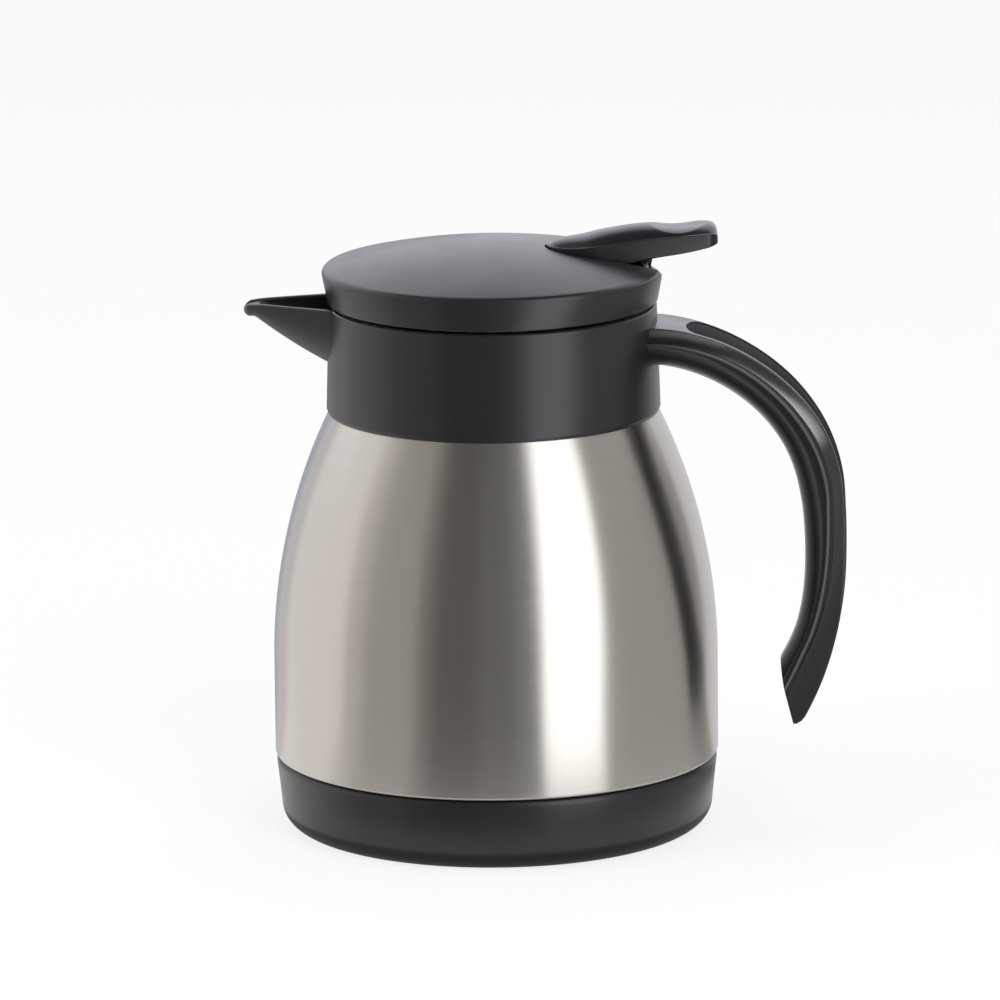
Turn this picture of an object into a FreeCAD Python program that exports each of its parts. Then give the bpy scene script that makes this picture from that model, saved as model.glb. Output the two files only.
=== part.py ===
import FreeCAD, Part
import math
import os

# Insulated coffee pot. Millimetres, +Z up, origin at the centre of the foot.
# The handle points along +X and the spout along -X.

# Driving sizes of the body
body_radius = 55.0
neck_radius = 36.6
neck_height = 112.0
straight_height = 42.3
base_height = 18.4

# Driving sizes of the lid, the lever and the handle
lid_height = 14.4
dome_rise = 5.0
lid_angle = 7.0
lever_overhang = 12.7
pivot_inset = 10.2
handle_width = 22.0
handle_depth = 10.0
handle_drop = 4.4

# Walls and clearances
shell_wall = 0.6
flask_wall = 0.5
vacuum_gap = 4.0
cap_wall = 2.0
lid_wall = 2.2
seam_gap = 0.2
lid_gap = 0.9
slot_gap = 0.5
seal_gap = 0.05
running_gap = 0.05
neck_fit = 0.25
snap_fit = 0.1

# Shell: skirt inside the base cap with a snap groove, and a bead on the neck that holds the collar
skirt_inset = 2.4
skirt_length = 9.4
groove_drop = 5.6
groove_depth = 0.5
groove_half = 0.3
groove_slope = 0.7
bead_rise = 1.9
bead_depth = 0.6
bead_half = 0.3
bead_slope = 0.6

# Flask, bottom plate, getter and solder bead
lip_rise = 4.2
flask_drop = 3.7
flask_bend = 8.0
neck_spacing = 0.9
flare_length = 2.2
flare_slope = 0.8
plate_drop = 7.1
plate_flange = 1.5
evacuation_radius = 1.5
solder_radius = 4.0
solder_depth = 1.4
getter_radius = 6.0
getter_height = 1.8
getter_reach = 22.0

# Base cap
cap_bend = 6.0
cap_taper = 1.3
cap_seat_depth = 0.3
cap_seat_width = 1.8
cap_seat_tall = 2.5
cap_cove = 3.5

# Collar
collar_rise = 19.1
collar_low_wall = 4.6
collar_top_wall = 3.8
collar_edge = 0.4
collar_edge_rise = 0.9
collar_rounding = 0.6
ledge_thick = 1.6
ledge_inset = 1.0
gasket_height = 1.5
gasket_play = 0.1

# Thread: two starts, right hand
thread_lead = 16.0
thread_sweep = 100.0
thread_steps = 10
thread_starts = (40.0, 220.0)
thread_play = 0.4
rib_base = 1.3
rib_crest = 0.8
rib_root = 0.5
rib_offset = 2.3
rib_rise = 4.6
female_depth = 1.9
male_inset = 0.1

# Spout
spout_overlap = 2.7
spout_length = 20.4
spout_root_half = 12.0
spout_tip_half = 2.5
spout_root_drop = 14.9
spout_tip_drop = 2.7
spout_sag = 0.7
spout_rim = 1.0
spout_wall = 1.7
spout_root_wall = 2.6
spout_tip_wall = 1.1
spout_tip_floor = 1.5
spout_floor_rise = 0.4
channel_reach_in = 5.0

# Handle, inlay and screws
handle_bend = 49.7
handle_flat = 94.3
bend_start = 92.0
bend_end = 5.0
flat_end = -29.0
handle_side = 3.4
handle_edge = 1.3
handle_root = 0.5
tip_cut_inner = -21.0
tip_cut_outer = -29.2
tip_edge = 1.9
inlay_half = 7.4
inlay_thick = 1.2
inlay_sunk = 0.25
inlay_gap = 0.15
inlay_start = 77.0
inlay_end = -27.0
screw_spread = 6.5
screw_radius = 1.5
screw_length = 10.0
screw_drop = 8.8
screw_head_radius = 2.6
screw_head_height = 1.6
screw_sink = 0.05
driver_radius = 2.75
driver_depth = 3.0

# Lid cover with the slot and the ears that carry the lever pin
lid_overhang = 5.4
lid_side_wall = 3.2
lid_taper = 1.3
lid_rounding = 1.0
catch_rise = 1.3
catch_depth = 0.55
catch_half = 0.25
catch_slope = 0.15
channel_depth = 1.6
relief_half = 9.8
ear_gap = 0.9
ear_thick = 3.0
ear_half = 3.0
ear_drop = 2.7
ear_rise = 1.8
pin_radius = 1.5

# Lever in its own frame, pointing along +X
lever_half = 8.3
nose_ahead = 8.6
nose_length = 12.6
pivot_rise = 4.2
hub_radius = 3.2
hub_inset = 0.4
web_front = 3.0
web_back = 8.0
web_rise = 3.4
dish_radius = 20.0
dish_setback = 9.5
dish_rise = 8.5
fork_round = 1.95
fork_gap = 0.1
fork_play = 0.5
fork_thick = 2.2
fork_half = 1.0
# Front sections: distance behind the nose, then underside, side and crown above the dome's edge
LEVER_FRONT = (
    (0.2, 1.7, 4.1, 4.4),
    (1.8, 1.5, 4.3, 5.0),
    (4.8, 1.3, 4.9, 6.0),
    (8.8, 1.1, 5.7, 7.1),
    (13.6, 1.0, 6.6, 8.3),
    (19.6, 1.1, 7.4, 9.3),
    (26.6, 2.4, 7.9, 9.8),
)
# Rear sections: distance before the end, half width, then the same three heights
LEVER_REAR = (
    (8.5, 8.3, 3.1, 8.3, 9.9),
    (2.5, 8.0, 4.7, 8.7, 9.9),
    (0.0, 7.4, 5.6, 8.7, 9.3),
)

# Stopper
plug_depth = 5.8
plug_floor_thick = 2.0
plug_play = 1.4
barrel_play = 0.2
barrel_low = 1.0
barrel_slope = 1.2
chamber_inset = 4.8
chamber_slope = 1.5
plate_inset = 2.4
plate_step = 1.2
plate_sink = 1.9
plate_thick = 2.0
flange_rise = 0.7
flange_thick = 2.0
flange_step = 0.8
step_play = 0.2
seat_height = 0.8
seat_width = 1.0
window_half_angle = 28.0
window_rise = 1.0
window_top = 2.5

# Stopper seals
gasket_groove = 3.0
gasket_seat = 3.5
gasket_tall = 3.6
gasket_root = 1.5
lip_start = 0.5
lip_slope = 0.3
lip_flat = 0.4
rim_seal_width = 1.3
rim_seal_rise = 0.45

# Valve and spring
orifice_radius = 8.5
seat_radius = 10.2
stem_radius = 2.0
stem_tail = 2.6
stem_flange_wall = 3.2
stem_flange_thick = 1.25
stem_head = 1.0
cap_top = 0.6
cap_chamfer = 0.4
disc_radius = 11.0
disc_thick = 1.4
valve_gasket_thick = 1.25
valve_gasket_proud = 0.2
guide_wall = 2.2
guide_rise = 1.5
guide_top = 1.3
nut_wall = 1.9
nut_height = 2.0
spring_wall = 3.0
wire_radius = 0.4
spring_turns = 7
end_gap = 0.05

# Shoulder arc: tangent to the straight wall, ending at the neck
neck_inset = body_radius - neck_radius
shoulder_rise = neck_height - straight_height
shoulder_radius = (shoulder_rise ** 2 + neck_inset ** 2) / (2 * neck_inset)
shoulder_centre = body_radius - shoulder_radius

# Heights that follow from the neck and the base
bead_middle = neck_height + bead_rise
lip_height = neck_height + lip_rise
ledge_bottom = lip_height + gasket_height
ledge_top = ledge_bottom + ledge_thick
collar_top = neck_height + collar_rise
screw_height = collar_top - screw_drop
groove_middle = base_height - groove_drop
skirt_low = base_height - skirt_length
plate_top = base_height - plate_drop
plate_under = plate_top - shell_wall

# Radii that follow from the body and the neck
skirt_radius = body_radius - skirt_inset
flask_neck = neck_radius - shell_wall - neck_spacing - flask_wall
ledge_radius = neck_radius - ledge_inset
thread_wall = neck_radius + thread_play
collar_low_radius = neck_radius + collar_low_wall
collar_top_radius = neck_radius + collar_top_wall
lid_radius = neck_radius + lid_overhang
lid_inner = lid_radius - lid_side_wall
lid_edge = lid_radius - lid_rounding
barrel_radius = flask_neck - barrel_play
chamber_radius = flask_neck - chamber_inset
plate_radius = flask_neck - plate_inset
gasket_bore = flask_neck - gasket_groove
step_radius = thread_wall + step_play
female_crest = thread_wall - female_depth
male_crest = neck_radius - male_inset
pivot_reach = plate_radius - pivot_inset
lever_nose = pivot_reach - nose_ahead
lever_reach = lid_radius + lever_overhang

# Heights inside the lid
lid_bottom = collar_top + lid_gap
dome_edge = lid_bottom + lid_height - dome_rise - lid_gap
lid_top = dome_edge + dome_rise
dome_radius = (lid_edge ** 2 + dome_rise ** 2) / (2 * dome_rise)
channel_floor = dome_edge - channel_depth
pivot_height = lid_bottom + pivot_rise
plug_bottom = neck_height - plug_depth
plug_floor = plug_bottom + plug_floor_thick
seat_top = plug_floor + seat_height
gasket_low = plug_bottom + gasket_seat
plate_bottom = collar_top - plate_sink
flange_bottom = lid_bottom + flange_rise
flange_top = flange_bottom + flange_thick
step_height = flange_bottom + flange_step
catch_height = flange_bottom + catch_rise
female_low = ledge_top + rib_rise

# Lever pin, valve and spring, from the lever and the seat
ear_inner = lever_half + ear_gap
ear_outer = ear_inner + ear_thick
fork_low = pivot_height - fork_round - fork_gap
fork_high = pivot_height + fork_round + fork_gap
stem_flange = stem_radius + stem_flange_wall
stem_end = fork_high + stem_head
guide_radius = stem_radius + guide_wall
valve_gasket_bottom = seat_top + seal_gap
disc_bottom = valve_gasket_bottom + valve_gasket_thick
disc_top = disc_bottom + disc_thick
spring_radius = stem_radius + spring_wall
spring_low = disc_top + wire_radius + end_gap
spring_high = plate_bottom - wire_radius - end_gap
spring_pitch = (spring_high - spring_low) / spring_turns

# Centres of the two handle arcs, from the collar and the drop of its top surface
bend_centre = (neck_radius + handle_root, collar_top - handle_drop - handle_bend)
flat_shift = handle_flat - handle_bend
flat_centre = (
    bend_centre[0] - flat_shift * math.cos(math.radians(bend_end)),
    bend_centre[1] - flat_shift * math.sin(math.radians(bend_end)),
)

# How far a cutting shape runs past what it cuts
cut_margin = 2.0

ORIGIN = FreeCAD.Vector(0, 0, 0)
Z_AXIS = FreeCAD.Vector(0, 0, 1)
Y_AXIS = FreeCAD.Vector(0, 1, 0)
X_AXIS = FreeCAD.Vector(1, 0, 0)


def at(x, z, y=0.0):
    """A point given by its place in the XZ plane."""
    return FreeCAD.Vector(x, y, z)


def outline(steps):
    """A closed face in the XZ plane: points are lines, pairs of points are arcs (middle, end)."""
    edges = []
    first = at(*steps[0])
    last = first
    for step in steps[1:] + [steps[0]]:
        if isinstance(step[0], tuple):
            end = at(*step[1])
            edges.append(Part.Arc(last, at(*step[0]), end).toShape())
        else:
            end = at(*step)
            if end.distanceToPoint(last) > 1e-6:
                edges.append(Part.LineSegment(last, end).toShape())
        last = end
    return Part.Face(Part.Wire(edges))


def turned(steps):
    """A full turn of an outline about the Z axis."""
    return outline(steps).revolve(ORIGIN, Z_AXIS, 360)


def shoulder_point(inset, radius):
    """Where the shoulder arc, moved inwards by inset, reaches a radius."""
    arc = shoulder_radius - inset
    rise = math.sqrt(arc ** 2 - (radius - shoulder_centre) ** 2)
    return (radius, straight_height + rise)


def shoulder_middle(inset, first, second):
    """A point of the shoulder arc half way between two heights."""
    height = 0.5 * (first[1] + second[1])
    arc = shoulder_radius - inset
    radius = shoulder_centre + math.sqrt(arc ** 2 - (height - straight_height) ** 2)
    return (radius, height)


def corner(centre, radius, degrees):
    """A point on an arc about a centre."""
    angle = math.radians(degrees)
    return (centre[0] + radius * math.cos(angle), centre[1] + radius * math.sin(angle))


def rod(base, direction, radius, length):
    """A cylinder from a point along a direction."""
    return Part.makeCylinder(radius, length, base, direction)


def cross_rod(x, z, radius, half):
    """A cylinder along Y, centred on the XZ plane."""
    return rod(at(x, z, -half), Y_AXIS, radius, 2 * half)


def block(low, high):
    """A box between two corners."""
    size = [high[i] - low[i] for i in range(3)]
    return Part.makeBox(size[0], size[1], size[2], FreeCAD.Vector(*low))


def notch(radius, middle, depth, half, slope):
    """Four points of a trapezoid on an upright wall, from low to high; a negative depth goes inwards."""
    return [
        (radius, middle - half - slope),
        (radius + depth, middle - half),
        (radius + depth, middle + half),
        (radius, middle + half + slope),
    ]


def lid_turned(shape):
    """A lid piece turned to the angle at which the lid is closed."""
    copy = shape.copy()
    copy.rotate(ORIGIN, Z_AXIS, lid_angle)
    return copy


def outer_shell():
    inner_neck = neck_radius - shell_wall
    inner_skirt = skirt_radius - shell_wall
    inner_body = body_radius - shell_wall
    neck_out = (neck_radius, neck_height)
    wall_out = (body_radius, straight_height)
    neck_in = shoulder_point(shell_wall, inner_neck)
    wall_in = (inner_body, straight_height)
    outside = [(skirt_radius, skirt_low)]
    outside += notch(skirt_radius, groove_middle, -groove_depth, groove_half, groove_slope)
    outside += [
        (skirt_radius, base_height),
        (body_radius, base_height),
        wall_out,
        (shoulder_middle(0.0, wall_out, neck_out), neck_out),
    ]
    outside += notch(neck_radius, bead_middle, bead_depth, bead_half, bead_slope)
    outside.append((neck_radius, lip_height))
    inside = [(inner_neck, lip_height)]
    inside += notch(inner_neck, bead_middle, bead_depth, bead_half - snap_fit, bead_slope + snap_fit)[::-1]
    inside += [
        neck_in,
        (shoulder_middle(shell_wall, neck_in, wall_in), wall_in),
        (inner_body, base_height + shell_wall),
        (inner_skirt, base_height + shell_wall),
    ]
    inside += notch(inner_skirt, groove_middle, -groove_depth, groove_half + snap_fit, groove_slope)[::-1]
    inside.append((inner_skirt, skirt_low))
    return turned(outside + inside)


def inner_flask():
    inset = shell_wall + vacuum_gap
    wall = body_radius - inset
    bottom = base_height - flask_drop
    neck = flask_neck + flask_wall
    flare = neck_radius - shell_wall
    flare_low = lip_height - flare_length
    neck_out = shoulder_point(inset, neck)
    wall_out = (wall, straight_height)
    neck_in = shoulder_point(inset + flask_wall, flask_neck)
    wall_in = (wall - flask_wall, straight_height)
    centre = (wall - flask_bend, bottom + flask_bend)
    outside = [
        (0.0, bottom),
        (centre[0], bottom),
        (corner(centre, flask_bend, -45), (wall, centre[1])),
        wall_out,
        (shoulder_middle(inset, wall_out, neck_out), neck_out),
        (neck, flare_low),
        (flare, flare_low + flare_slope),
        (flare, lip_height),
    ]
    inside = [
        (flare - flask_wall, lip_height),
        (flare - flask_wall, flare_low + flare_slope),
        (flask_neck, flare_low),
        neck_in,
        (shoulder_middle(inset + flask_wall, neck_in, wall_in), wall_in),
        (wall - flask_wall, centre[1]),
        (corner(centre, flask_bend - flask_wall, -45), (centre[0], bottom + flask_wall)),
        (0.0, bottom + flask_wall),
    ]
    return turned(outside + inside)


def bottom_plate():
    rim = skirt_radius - shell_wall
    return turned([
        (evacuation_radius, plate_under),
        (rim - shell_wall, plate_under),
        (rim - shell_wall, plate_under - plate_flange),
        (rim, plate_under - plate_flange),
        (rim, plate_top),
        (evacuation_radius, plate_top),
    ])


def seal_bead():
    crown = solder_depth * math.sqrt(0.5)
    return turned([
        (0.0, plate_top),
        (0.0, plate_under - solder_depth),
        ((solder_radius * math.sqrt(0.5), plate_under - crown), (solder_radius, plate_under)),
        (evacuation_radius, plate_under),
        (evacuation_radius, plate_top),
    ])


def getter():
    return rod(at(getter_reach, plate_top), Z_AXIS, getter_radius, getter_height)


def base_cap():
    inner = skirt_radius + seam_gap
    top_radius = body_radius - seam_gap
    low_radius = top_radius - cap_taper
    foot = low_radius - cap_bend
    top = base_height - seam_gap
    seat = skirt_low - cap_seat_depth
    seat_inner = inner - cap_seat_width
    outside = [
        (0.0, 0.0),
        (foot, 0.0),
        (corner((foot, cap_bend), cap_bend, -45), (low_radius, cap_bend)),
        (top_radius, top),
    ]
    inside = [(inner, top)]
    inside += notch(inner, groove_middle, snap_fit - groove_depth, groove_half, groove_slope + snap_fit)[::-1]
    inside += [
        (inner, seat),
        (seat_inner, seat),
        (seat_inner, seat - cap_seat_tall),
        (seat_inner - cap_cove, cap_wall),
        (0.0, cap_wall),
    ]
    return turned(outside + inside)


def rib(base_radius, crest_radius, start, low):
    """One helical thread rib as a ruled loft through radial sections."""
    sections = []
    for step in range(thread_steps + 1):
        turn = thread_sweep * step / thread_steps
        angle = math.radians(start + turn)
        height = low + thread_lead * turn / 360.0
        points = []
        for radius, half in ((base_radius, -rib_base), (crest_radius, -rib_crest),
                             (crest_radius, rib_crest), (base_radius, rib_base)):
            x = radius * math.cos(angle)
            y = radius * math.sin(angle)
            points.append(FreeCAD.Vector(x, y, height + half))
        sections.append(Part.makePolygon(points + points[:1]))
    return Part.makeLoft(sections, True, True)


def trough(reach, half, bottom, top, side):
    """A spout section: straight sides and a round bottom, across X."""
    left = FreeCAD.Vector(-reach, -half, top)
    left_low = FreeCAD.Vector(-reach, -half, top - side)
    keel = FreeCAD.Vector(-reach, 0, bottom)
    right_low = FreeCAD.Vector(-reach, half, top - side)
    right = FreeCAD.Vector(-reach, half, top)
    return Part.Wire([
        Part.LineSegment(left, left_low).toShape(),
        Part.Arc(left_low, keel, right_low).toShape(),
        Part.LineSegment(right_low, right).toShape(),
        Part.LineSegment(right, left).toShape(),
    ])


def spout_sections():
    """Reach, half width and keel height along the spout."""
    root = collar_low_radius - spout_overlap
    tip = collar_low_radius + spout_length
    root_keel = collar_top - spout_root_drop
    tip_keel = collar_top - spout_tip_drop
    middle_half = 0.5 * (spout_root_half + spout_tip_half)
    middle_keel = 0.5 * (root_keel + tip_keel) - spout_sag
    return (
        (root, spout_root_half, root_keel),
        (0.5 * (root + tip), middle_half, middle_keel),
        (tip, spout_tip_half, tip_keel),
    )


def spout_body():
    wires = [trough(reach, half, keel, collar_top, spout_rim) for reach, half, keel in spout_sections()]
    return Part.makeLoft(wires, True, False)


def spout_channel():
    """The space that the coffee runs through, from inside the collar to past the tip."""
    top = collar_top + cut_margin
    side = spout_rim + cut_margin
    tip_side = spout_tip_wall - spout_wall + side
    floor = ledge_top + spout_floor_rise
    root, middle, tip = spout_sections()
    root_half = root[1] - spout_root_wall
    wires = [
        trough(thread_wall - channel_reach_in, root_half, floor, top, side),
        trough(root[0], root_half, floor, top, side),
        trough(middle[0], middle[1] - spout_wall, middle[2] + spout_wall, top, side),
        trough(tip[0] + spout_tip_floor, tip[1] - spout_tip_wall, tip[2] + spout_tip_floor, top, tip_side),
    ]
    return Part.makeLoft(wires, True, True)


def screw_head_plane():
    """X of the flat screw heads, just outside the thread wall."""
    near_edge = screw_spread - screw_head_radius - snap_fit
    return math.sqrt(thread_wall ** 2 - near_edge ** 2) + screw_sink


def handle_screw(side):
    plane = screw_head_plane()
    y = side * screw_spread
    top = at(plane, screw_height, y)
    neck = at(plane + screw_head_height, screw_height, y)
    head = Part.makeCone(screw_head_radius, screw_radius, screw_head_height, top, X_AXIS)
    shank = rod(neck, X_AXIS, screw_radius, screw_length - screw_head_height)
    return head.fuse(shank).removeSplitter()


def handle_screws():
    return Part.makeCompound([handle_screw(-1), handle_screw(1)])


def collar_foot():
    """Lowest point of the collar's outside, just above the shoulder."""
    return shoulder_point(-seam_gap, collar_low_radius - collar_edge)


def collar():
    bore = neck_radius + neck_fit
    low = collar_foot()
    high = shoulder_point(-seam_gap, bore)
    top_centre = (collar_top_radius - collar_rounding, collar_top - collar_rounding)
    outside = [
        low,
        (collar_low_radius, low[1] + collar_edge_rise),
        (collar_top_radius, top_centre[1]),
        (corner(top_centre, collar_rounding, 45), (top_centre[0], collar_top)),
    ]
    inside = [
        (thread_wall, collar_top),
        (thread_wall, ledge_top),
        (ledge_radius, ledge_top),
        (ledge_radius, ledge_bottom),
        (bore, ledge_bottom),
    ]
    inside += notch(bore, bead_middle, bead_depth, bead_half + snap_fit, bead_slope + snap_fit)[::-1]
    inside += [high, (shoulder_middle(-seam_gap, high, low), low)]
    body = turned(outside + inside)
    body = body.fuse(spout_body())
    for start in thread_starts:
        body = body.fuse(rib(thread_wall + rib_root, female_crest, start, female_low))
    body = body.cut(spout_channel())
    plane = screw_head_plane()
    for side in (-1, 1):
        driver = at(plane - driver_depth, screw_height, side * screw_spread)
        body = body.cut(rod(driver, X_AXIS, driver_radius, driver_depth))
        body = body.cut(handle_screw(side))
    return body.removeSplitter()


def collar_gasket():
    inner = ledge_radius - seal_gap
    outer = neck_radius + neck_fit - gasket_play
    return turned([
        (inner, lip_height),
        (outer, lip_height),
        (outer, ledge_bottom),
        (inner, ledge_bottom),
    ])


def grip_section(radius):
    """D section of the grip at the top of an arc: flat spine outside, round inside."""
    half = 0.5 * handle_width
    edge = handle_edge
    spine = radius
    side = radius - handle_side
    inner = radius - handle_depth
    bend = edge * math.sqrt(0.5)

    def point(y, depth):
        return FreeCAD.Vector(0, y, depth)

    edges = [
        Part.LineSegment(point(edge - half, spine), point(half - edge, spine)).toShape(),
        Part.Arc(point(half - edge, spine), point(half - edge + bend, spine - edge + bend),
                 point(half, spine - edge)).toShape(),
        Part.LineSegment(point(half, spine - edge), point(half, side)).toShape(),
        Part.Arc(point(half, side), point(0, inner), point(-half, side)).toShape(),
        Part.LineSegment(point(-half, side), point(-half, spine - edge)).toShape(),
        Part.Arc(point(-half, spine - edge), point(edge - half - bend, spine - edge + bend),
                 point(edge - half, spine)).toShape(),
    ]
    return Part.Face(Part.Wire(edges))


def strip_section(radius, half, thick, sunk):
    """Rectangular section of the inlay at the top of an arc."""
    low = radius - sunk - thick
    high = radius - sunk
    corners = [
        FreeCAD.Vector(0, -half, low),
        FreeCAD.Vector(0, half, low),
        FreeCAD.Vector(0, half, high),
        FreeCAD.Vector(0, -half, high),
    ]
    return Part.Face(Part.makePolygon(corners + corners[:1]))


def arc_sweep(section, centre, start, end):
    """A section drawn at the top of an arc, swept about the arc's centre from start to end degrees."""
    face = section.copy()
    face.rotate(ORIGIN, Y_AXIS, 90.0 - start)
    face.translate(at(*centre))
    return face.revolve(at(*centre), Y_AXIS, start - end)


def handle_sweep(section, start, end):
    """A section swept along both arcs of the handle."""
    upper = arc_sweep(section(handle_bend), bend_centre, start, bend_end)
    lower = arc_sweep(section(handle_flat), flat_centre, bend_end, end)
    return upper.fuse(lower).removeSplitter()


def tip_cut():
    """Everything on the body side of the slanted end of the handle."""
    high = corner(flat_centre, handle_flat - handle_depth - collar_rounding, tip_cut_inner)
    low = corner(flat_centre, handle_flat - tip_edge, tip_cut_outer)
    run = (low[0] - high[0], low[1] - high[1])
    above = (high[0] - 0.1 * run[0], high[1] - 0.1 * run[1])
    below = (high[0] + 2.0 * run[0], high[1] + 2.0 * run[1])
    depth = 3 * handle_depth
    face = outline([above, below, (below[0] - depth, below[1]), (above[0] - depth, above[1])])
    face.translate(at(0.0, 0.0, -handle_width))
    return face.extrude(FreeCAD.Vector(0, 2 * handle_width, 0))


def handle():
    grip = handle_sweep(grip_section, bend_start, flat_end)
    cone_bottom = collar_foot()[1] + collar_edge_rise
    cone_height = collar_top - collar_rounding - cone_bottom
    inside = Part.makeCone(collar_low_radius + running_gap, collar_top_radius + running_gap, cone_height,
                           at(0, cone_bottom), Z_AXIS)
    grip = grip.cut(inside).cut(tip_cut())

    def pocket(radius):
        return strip_section(radius, inlay_half + inlay_gap, inlay_thick + inlay_gap + cut_margin,
                             inlay_sunk - cut_margin)

    room = math.degrees(inlay_gap / handle_bend)
    grip = grip.cut(handle_sweep(pocket, inlay_start + room, inlay_end - room))
    for side in (-1, 1):
        grip = grip.cut(handle_screw(side))
    return grip.removeSplitter()


def handle_inlay():
    def strip(radius):
        return strip_section(radius, inlay_half, inlay_thick, inlay_sunk)

    return handle_sweep(strip, inlay_start, inlay_end)


def nose_plan(grow, end, low, high):
    """The plan of the lever, a half ellipse and straight sides, as an upright block."""
    half = lever_half + grow
    length = nose_length + grow
    centre = lever_nose + nose_length
    ellipse = Part.Ellipse(at(centre, low), length, half)
    round_end = Part.Wire([ellipse.toShape()])
    nose = Part.Face(round_end).extrude(FreeCAD.Vector(0, 0, high - low))
    back = block((centre, -half, low), (end, half, high))
    return nose.fuse(back).removeSplitter()


def dome_height(arc, radius):
    """Height of a dome of that arc radius, about the lid's own centre, at a distance from the axis."""
    return lid_top - dome_radius + math.sqrt(arc ** 2 - radius ** 2)


def lid_cover():
    rim = dome_edge - lid_rounding
    inner_arc = dome_radius - lid_wall
    half_out = (0.5 * lid_edge, dome_height(dome_radius, 0.5 * lid_edge))
    half_in = (0.5 * lid_inner, dome_height(inner_arc, 0.5 * lid_inner))
    outside = [
        (lid_inner, lid_bottom),
        (lid_radius - lid_taper, lid_bottom),
        (lid_radius, rim),
        (corner((lid_edge, rim), lid_rounding, 45), (lid_edge, dome_edge)),
        (half_out, (0.0, lid_top)),
    ]
    inside = [
        (0.0, lid_top - lid_wall),
        (half_in, (lid_inner, dome_height(inner_arc, lid_inner))),
    ]
    inside += notch(lid_inner, catch_height, catch_depth, catch_half, catch_slope)[::-1]
    cover = turned(outside + inside)
    for side in (-1, 1):
        low = min(side * ear_inner, side * ear_outer)
        ear = block((pivot_reach - ear_half, low, pivot_height - ear_drop),
                    (pivot_reach + ear_half, low + ear_thick, dome_edge + ear_rise))
        cover = cover.fuse(ear)
    slot_end = lid_radius + cut_margin
    cover = cover.cut(nose_plan(slot_gap, slot_end, channel_floor, lid_top + cut_margin))
    relief_start = lid_inner - seam_gap
    relief = block((relief_start, -relief_half, channel_floor), (slot_end, relief_half, lid_top))
    bore = cross_rod(pivot_reach, pivot_height, pin_radius, ear_outer + cut_margin)
    return cover.cut(relief).cut(bore).removeSplitter()


def lever_pin():
    return cross_rod(pivot_reach, pivot_height, pin_radius, ear_outer)


def lever_section(reach, half, bottom, side, crown):
    """A lever section across X: flat bottom, straight sides and a crowned top, above the dome's edge."""
    left_low = FreeCAD.Vector(reach, -half, dome_edge + bottom)
    right_low = FreeCAD.Vector(reach, half, dome_edge + bottom)
    right = FreeCAD.Vector(reach, half, dome_edge + side)
    left = FreeCAD.Vector(reach, -half, dome_edge + side)
    top = FreeCAD.Vector(reach, 0, dome_edge + crown)
    return Part.Wire([
        Part.LineSegment(left_low, right_low).toShape(),
        Part.LineSegment(right_low, right).toShape(),
        Part.Arc(right, top, left).toShape(),
        Part.LineSegment(left, left_low).toShape(),
    ])


def nose_half(behind):
    """Half width of the lever at a distance behind its nose."""
    ahead = max(0.0, 1.0 - behind / nose_length)
    return lever_half * math.sqrt(1.0 - ahead ** 2)


def lever():
    wires = [lever_section(lever_nose + behind, nose_half(behind), *heights)
             for behind, *heights in LEVER_FRONT]
    wires += [lever_section(lever_reach - before, half, *heights)
              for before, half, *heights in LEVER_REAR]
    top = Part.makeLoft(wires, True, False)
    dish_centre = at(lever_reach - dish_setback, dome_edge + dish_rise + dish_radius)
    top = top.cut(Part.makeSphere(dish_radius, dish_centre))
    web = block((pivot_reach - web_front, -lever_half, pivot_height),
                (pivot_reach + web_back, lever_half, dome_edge + web_rise))
    web = web.common(nose_plan(-hub_inset, lever_reach, pivot_height, lid_top))
    whole = top.fuse(web).fuse(cross_rod(pivot_reach, pivot_height, hub_radius, lever_half - hub_inset))
    arm_inner = stem_radius + fork_play
    arm_outer = arm_inner + fork_thick
    for side in (-1, 1):
        low = min(side * arm_inner, side * arm_outer)
        high = low + fork_thick
        arm = block((0.0, low, pivot_height - fork_half), (pivot_reach, high, pivot_height + fork_half))
        tip = rod(at(0.0, pivot_height, low), Y_AXIS, fork_round, fork_thick)
        whole = whole.fuse(arm).fuse(tip)
    bore = cross_rod(pivot_reach, pivot_height, pin_radius + running_gap, ear_outer)
    return whole.cut(bore).removeSplitter()


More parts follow.
